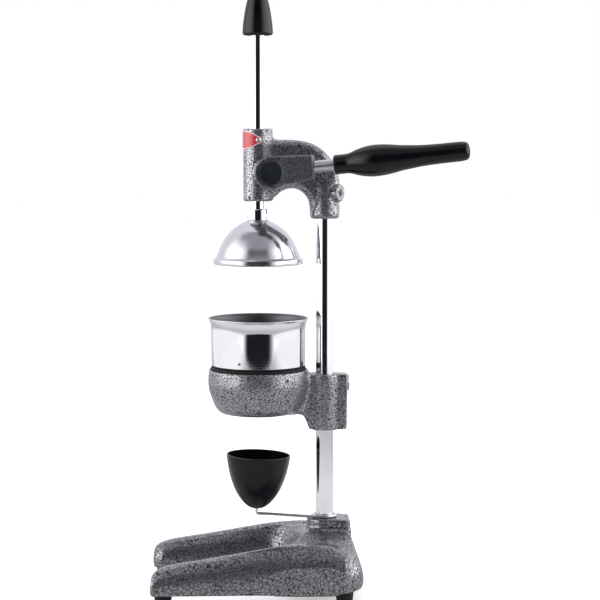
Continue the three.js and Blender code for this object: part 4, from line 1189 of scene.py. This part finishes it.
# ------------------------------------------------------------------ ram
def toothed_rod():
    """A round rod with a rack cut into its rear side, level with the pinion."""
    radius, module = RAM_RADIUS, 1.75
    pitch = math.pi * module
    tip, root = 7.125, 3.1875  # how far the teeth's flats stand from the axis
    slope = math.tan(20 * DEG)
    tip_half = pitch / 4 + module * slope
    root_half = pitch / 4 - 1.25 * module * slope
    # z, rod radius, distance of the flat
    levels = [
        (503, radius - 1, radius - 1), (504, radius, radius), (547, radius, radius),
        (547.05, radius, 9.9), (549.8, radius, tip),
    ]
    first, last = math.ceil((553 - PIN_Z) / pitch), math.floor((731 - PIN_Z) / pitch)
    for k in range(first, last + 1):
        z = PIN_Z + k * pitch
        levels += [
            (z - tip_half, radius, tip), (z - root_half, radius, root),
            (z + root_half, radius, root), (z + tip_half, radius, tip),
        ]
    levels += [
        (734.2, radius, tip), (736.95, radius, 9.9), (737, radius, radius),
        (775, radius, radius), (776, radius - 1, radius - 1),
    ]
    rings = []
    deep = math.acos(root / radius)
    for z, reach, flat in levels:
        start = math.acos(min(1.0, flat / reach))
        angles = [start + (deep - start) * j / 12 for j in range(12)]
        angles += [deep + (2 * math.pi - 2 * deep) * j / 90 for j in range(90)]
        angles += [2 * math.pi - deep + (deep - start) * j / 12 for j in range(13)]
        points = [(RAM_X + reach * math.cos(a), reach * math.sin(a), z) for a in angles]
        half = reach * math.sin(start)
        flat_x = RAM_X + reach * math.cos(start)
        points += [(flat_x, -half + 2 * half * j / 6, z) for j in range(1, 6)]
        rings.append(points)
    return rings_mesh(rings)


piece("ram_rod", toothed_rod(), "chrome", weld=True)
KNOB = (
    [(0, 776.4), (10.2, 776.4)]
    + filleted([
        (10.2, 747.6), (10.9, 747.0, 0.3), (16, 747.5), (19.3, 748.3, 1.2), (20.2, 750.6, 1.2),
        (20.05, 754),
    ], steps=6)
    + curve([
        (19.9, 756.5), (19.7, 759), (18.6, 768), (16.6, 781), (13.7, 793.5), (11.6, 800.5),
        (9.2, 807), (7.6, 809.4), (5.6, 811.6), (3, 813.1), (0, 813.6),
    ], steps=7)
)
piece("top_knob", lathe(KNOB, seg=128, at=RAM_AXIS), "gloss_black", sharp=40)
COLLAR = filleted([
    (10.2, 503.2), (15.1, 503.2, 0.5), (15.25, 517.0, 0.7), (14.6, 518.5, 0.6),
    (12.9, 518.8, 0.4), (10.2, 518.8), (10.2, 503.2),
], steps=6)
piece("bell_collar", lathe(COLLAR, seg=112, at=RAM_AXIS), "chrome")
BELL = (
    filleted([(4.6, 502.7), (14.6, 502.7, 0.5), (15.8, 502.4)])
    + curve([
        (15.8, 502.4), (20, 500.6), (28, 496), (37.2, 488.6), (44.4, 480), (50.2, 470),
        (54.6, 459.4), (56.2, 455.6),
    ], steps=8)[1:]
    + curve([(56.7, 454.4), (57.6, 453.3), (59.0, 452.7), (59.8, 451.9), (60, 450.6)], steps=4)
    + filleted([(60, 450.6), (60, 444.8, 0.9), (57.2, 444.8, 0.7), (56.7, 449.0)])[1:]
    + curve([
        (56.3, 451), (51.8, 459.6), (47.4, 468.8), (41.4, 478.3), (34.4, 485.9), (25.2, 492.8),
        (12.5, 499.3),
    ], steps=6)
    + [(4.6, 499.5), (4.6, 502.7)]
)
piece("press_bell", lathe(BELL, seg=160, at=RAM_AXIS), "bell_aluminium", sharp=40)

# radius, z
BUTTON_SOCKET = [(1.2, 496.9), (2.5, 497.2), (2.5, 494.7), (2.7, 494.45)]
BUTTON_OUTSIDE = [
    (5.6, 494.4), (6.8, 494.7), (7.6, 495.3), (8.0, 496.1), (8.0, 498.9), (7.8, 499.1),
    (4.0, 499.1), (4.0, 520.6), (3.6, 521.0),
]
button_rings = [ring(radius, z, 60, hexed=True) for radius, z in BUTTON_SOCKET]
button_rings += [ring(radius, z, 60) for radius, z in BUTTON_OUTSIDE]
piece("bell_screw", place(rings_mesh(button_rings), RAM_AXIS), "zinc_steel")

# ------------------------------------------------------------------ gasket, cup, cone
GASKET = filleted([
    (54, 301.6), (63.5, 301.6, 0.5), (63.6, 304.0, 0.3), (63.3, 304.3, 0.2), (63.6, 304.7, 0.3),
    (63.5, 306.9, 0.8), (54, 306.9, 0.4), (54, 301.6),
], steps=4)
piece("cup_gasket", lathe(GASKET, seg=160, at=RAM_AXIS), "gasket_rubber")
# From the floor's inner edge out and up the wall, over the rim and down inside.
CUP = (
    [(41, 308.4)]
    + filleted([(41, 307.2), (61.2, 307.2, 1.6), (62.9, 309.8)], steps=6)
    + curve([
        (62.9, 309.8), (62.97, 318), (63.05, 330), (63.12, 342), (63.18, 352), (63.35, 359),
        (63.8, 363), (64.8, 366.8), (66.4, 370), (68.5, 371.9), (69.3, 372.4),
    ], steps=6)[1:]
    + filleted([(69.3, 372.4), (69.7, 372.9, 0.25), (69.2, 373.3, 0.25), (68.2, 373.0)], steps=4)[1:]
    + curve([
        (68.2, 373.0), (66.2, 371.6), (64.2, 368.6), (63.0, 364.2), (62.4, 358), (62.1, 345),
        (61.9, 330), (61.75, 316), (61.6, 311.4),
    ], steps=6)[1:]
    + filleted([(61.6, 311.4), (61.4, 308.4, 1.6), (41, 308.4)], steps=6)[1:]
)
cup = piece("juice_cup", lathe(CUP, seg=192, at=RAM_AXIS), "cup_stainless", sharp=40)
# A small round hole low in the wall.
hole_turn = -115 * DEG
hole_dir = (math.cos(hole_turn), math.sin(hole_turn), 0)
HOLE = [(0, 55), (2.0, 55), (2.0, 70), (0, 70)]
cut_away(cup, [lathe(HOLE, seg=28, at=(RAM_X, 0, 316.4), along=hole_dir)])

CONE_Z = 308.6


def above_cone_foot(*points):
    return [(radius, CONE_Z + rise, *fillet) for radius, rise, *fillet in points]


CONE = (
    filleted(above_cone_foot(
        (39, 0), (56, 0, 0.4), (56, 1.7, 0.5), (45.2, 1.9), (43.6, 2.1)
    ), steps=4)
    + curve(above_cone_foot(
        (42.6, 2.5), (41.2, 3.8), (38.6, 7.2), (33.4, 14.5), (24.2, 28), (14.4, 41.5),
        (9.4, 47.3), (5.0, 50.2), (0, 51.4),
    ), steps=6)
    + curve(above_cone_foot((0, 47.8), (4.4, 46.3), (11.4, 39.6), (21, 26.2), (30.4, 12.6), (38, 2)))
    + [(39, CONE_Z)]
)
cone = piece("press_cone", lathe(CONE, seg=128, at=RAM_AXIS), "cone_aluminium", sharp=40)


def slot_block(angle):
    cos, sin = math.cos(angle), math.sin(angle)
    points = [
        (RAM_X + x * cos - y * sin, x * sin + y * cos, z)
        for z in (CONE_Z + 4.0, CONE_Z + 15.0)
        for x, y in ((29, -1.8), (49, -1.8), (49, 1.8), (29, 1.8))
    ]
    sides = [(j, (j + 1) % 4, (j + 1) % 4 + 4, j + 4) for j in range(4)]
    return points, [(3, 2, 1, 0), (4, 5, 6, 7)] + sides, {}


cut_away(cone, [slot_block((22.5 + 45 * i) * DEG) for i in range(8)])


# ------------------------------------------------------------------ drip cup on its wire
def drip_wire():
    """A wire looped round the column on the base's boss, straight to the ram's axis and up."""
    wire, loop = 2.0, 15.1  # radii
    loop_z = 101.5 + wire + 0.25
    tip_x = RAM_X + 0.4
    start = math.pi + math.acos(loop / abs(tip_x))
    tangent = np.array([loop * math.cos(start), loop * math.sin(start)])
    straight = math.hypot(tip_x - tangent[0], tangent[1])
    dx, dy = (tangent[0] - tip_x) / straight, tangent[1] / straight
    high = loop_z + 2.4
    path = [(tip_x - 3 * dx, -3 * dy, high + 3 + 10.5 * (1 - i / 8)) for i in range(8)]
    for i in range(16):
        bend = math.pi / 2 * i / 16
        along = 3 - 3 * math.cos(bend)
        path.append((
            tip_x - 3 * dx + along * dx, -3 * dy + along * dy, high + 3 - 3 * math.sin(bend)
        ))
    for i in range(60):
        k = i / 60
        drop = 2.4 * k * k * (3 - 2 * k)
        path.append((tip_x + dx * straight * k, dy * straight * k, high - drop))
    for i in range(91):
        turn = start + 312 * DEG * i / 90
        path.append((loop * math.cos(turn), loop * math.sin(turn), loop_z))
    path = np.array(path)
    t = np.gradient(path, axis=0)
    t /= np.linalg.norm(t, axis=1, keepdims=True)
    normal = np.cross(t[0], [0, 1, 0])
    normal /= np.linalg.norm(normal)
    frames = []
    for tangent in t:
        normal = normal - tangent * (normal @ tangent)
        normal /= np.linalg.norm(normal)
        frames.append((normal, np.cross(tangent, normal)))

    def section(i, radius, shift):
        a, b = frames[i]
        centre = path[i] + t[i] * shift
        turns = np.linspace(0, 2 * math.pi, 24, endpoint=False)
        return [centre + radius * (math.cos(q) * a + math.sin(q) * b) for q in turns]

    end = ((0.8, 0.5), (1.5, 0.4), (1.85, 0.15))  # rounded end: radius, distance beyond
    rings = [section(0, radius, -shift) for radius, shift in end]
    rings += [section(i, wire, 0) for i in range(len(path))]
    rings += [section(len(path) - 1, radius, shift) for radius, shift in end[::-1]]
    return rings_mesh(rings)


piece("drip_arm", drip_wire(), "wire_steel", sharp=60)
DRIP_CUP = (
    [(2.6, 0), (5.4, 0)]
    + curve([
        (5.4, 0), (8.6, 0.9), (12.6, 3.0), (16.8, 6.2), (20.4, 10.0), (24.8, 15.6), (28.6, 21.6),
        (32, 28.6), (34.8, 35.6), (37.4, 43.4), (39.8, 52.6), (41.6, 61.8), (43.0, 70.6),
    ], steps=6)[1:]
    + filleted([(43.0, 70.6), (43.2, 73, 0.7), (41.5, 73, 0.7), (41.0, 71)], steps=6)[1:]
    + curve([
        (40.9, 69.6), (39.4, 62), (37.5, 53), (35.1, 44), (32.4, 36.2), (29.6, 29.4),
        (26.2, 22.8), (22.2, 16.6), (18.2, 11.4), (14.2, 7.8), (11, 5.6),
    ], steps=6)
    + [(7, 4.6)]
    + filleted([(6.4, 9.4), (6.0, 10, 0.3), (0, 10)])
    + [(0, 7), (2.6, 7), (2.6, 0)]
)


def drip_cup():
    """The cup hangs a little tilted."""
    verts, faces, values = lathe(DRIP_CUP, seg=128)
    cos, sin = math.cos(2.2 * DEG), math.sin(2.2 * DEG)
    tilt = np.array([[cos, 0, -sin], [0, 1, 0], [sin, 0, cos]])
    return verts @ tilt + np.array([RAM_X - 2.8, 0, 114]), faces, values


piece("drip_cup", drip_cup(), "drip_plastic", sharp=40)


# ------------------------------------------------------------------ stage, in metres
def floor_paper():
    """To the camera the pale paper burns out to white under an even glow. The object sees darker paper
    with a painted glow on it, round the object out to 1.2 metres and stronger towards the sides."""
    look = Look("floor_paper")
    cloud = look.noise(scale=3.0, detail=3.0)
    grain = look.noise(scale=900.0)
    clouds = look.ramp(cloud, over=(0.3, 0.7))
    pale = look.mix(clouds, (0.87, 0.87, 0.875), (0.90, 0.90, 0.90))
    direct = look.add("LightPath").outputs["Is Camera Ray"]
    look.surface(
        colour=look.mix(direct, (0.46, 0.46, 0.475), pale),
        roughness=0.85,
        normal=look.bump(grain, metres=0.00005, strength=0.3),
        specular=0.12,
    )
    # Painted glow that only the object sees: round the object, fading out by 1.2 metres, and growing
    # towards the sides.
    away = look.add("VectorMath", {0: look.coord}, operation="LENGTH").outputs["Value"]
    across = look.add("SeparateXYZ", {0: look.coord}).outputs[0]
    wide = look.ramp(look.math("ABSOLUTE", across), over=(1.1, 1.9), to=(0.0, 0.46))
    near = look.math("ADD", look.ramp(away, over=(0.45, 1.2), to=(0.24, 0.0)), wide)
    look.put(look.bsdf.inputs["Emission Color"], (1.0, 1.0, 1.0, 1.0))
    look.put(look.bsdf.inputs["Emission Strength"], look.blend(direct, near, 0.42))
    return look.material


def studio(world):
    """A soft grey room, dark behind the camera, with a bright box on either side of it."""
    world.use_nodes = True
    sky = Nodes(world.node_tree)
    out = sky.add("OutputWorld")
    back = sky.add("Background")
    sky.put(out.inputs[0], back.outputs[0])
    direction = sky.add("TexCoord").outputs["Generated"]
    vx, vy, vz = sky.add("SeparateXYZ", {0: direction}).outputs[:3]
    # Degrees: 0 towards the camera, + to its right.
    side = sky.math("ARCTAN2", vx, sky.math("MULTIPLY", vy, -1.0))
    side = sky.math("ADD", sky.math("MULTIPLY", side, 180 / math.pi), CAMERA_TURN)
    turn = sky.math("ABSOLUTE", side)
    rise = sky.math("MULTIPLY", sky.math("ARCSINE", vz), 180 / math.pi)
    right = sky.math("GREATER_THAN", side, 0.0)
    onset = sky.blend(right, sky.ramp(turn, over=(25, 58)), sky.ramp(turn, over=(28, 70)))
    fade = sky.blend(
        right,
        sky.ramp(turn, over=(84, 124), to=(1.0, 0.0)),
        sky.ramp(turn, over=(98, 142), to=(1.0, 0.0)),
    )
    box = sky.math("MULTIPLY", onset, fade)
    box = sky.math("MULTIPLY", box, sky.ramp(rise, over=(-22, -6)))
    box = sky.math("MULTIPLY", box, sky.ramp(rise, over=(12, 62), to=(1.0, 0.0)))
    dark = sky.math(
        "MULTIPLY",
        sky.ramp(turn, over=(24, 44), to=(1.0, 0.0)),
        sky.ramp(rise, over=(32, 48), to=(1.0, 0.0)),
    )
    behind = sky.ramp(turn, over=(84, 128))  # beyond the object
    level = sky.mix(behind, (0.50, 0.50, 0.54), (1.12, 1.11, 1.18))
    above = sky.mix(behind, (0.50, 0.50, 0.54), (1.25, 1.25, 1.30))
    colour = sky.mix(sky.ramp(rise, over=(36, 70)), level, above)
    colour = sky.mix(sky.ramp(rise, over=(-30, -6)), (0.30, 0.30, 0.33), colour)
    colour = sky.mix(dark, colour, (0.012, 0.0125, 0.018))
    colour = sky.mix(box, colour, (3.5, 3.5, 3.56))
    seen = sky.add("LightPath").outputs["Is Camera Ray"]
    sky.put(back.inputs["Color"], sky.mix(seen, colour, (1.0, 1.0, 1.0)))


scene = bpy.context.scene
floor_mesh = bpy.data.meshes.new("floor")
floor_mesh.from_pydata([(-5, -2.0, 0), (5, -2.0, 0), (5, 9, 0), (-5, 9, 0)], [], [(0, 1, 2, 3)])
floor = link_object("floor", floor_mesh)
floor_mesh.materials.append(floor_paper())

scene.world = bpy.data.worlds.new("studio")
studio(scene.world)

camera_data = bpy.data.cameras.new("camera")
camera = link_object("camera", camera_data)
camera_data.sensor_width = 36.0
camera_data.lens = 121.2
camera_data.clip_start, camera_data.clip_end = 0.05, 60.0
target = Vector(((OFFSET[0] - 33.0) * MM, OFFSET[1] * MM, 0.39585))
turn, rise = -CAMERA_TURN * DEG, CAMERA_RISE * DEG
to_camera = Vector((
    math.sin(turn) * math.cos(rise), -math.cos(turn) * math.cos(rise), math.sin(rise)
))
camera.location = target + to_camera * CAMERA_DISTANCE
camera.rotation_euler = (target - camera.location).to_track_quat("-Z", "Y").to_euler()
scene.camera = camera
scene.view_settings.view_transform = "Standard"
scene.view_settings.look = "None"
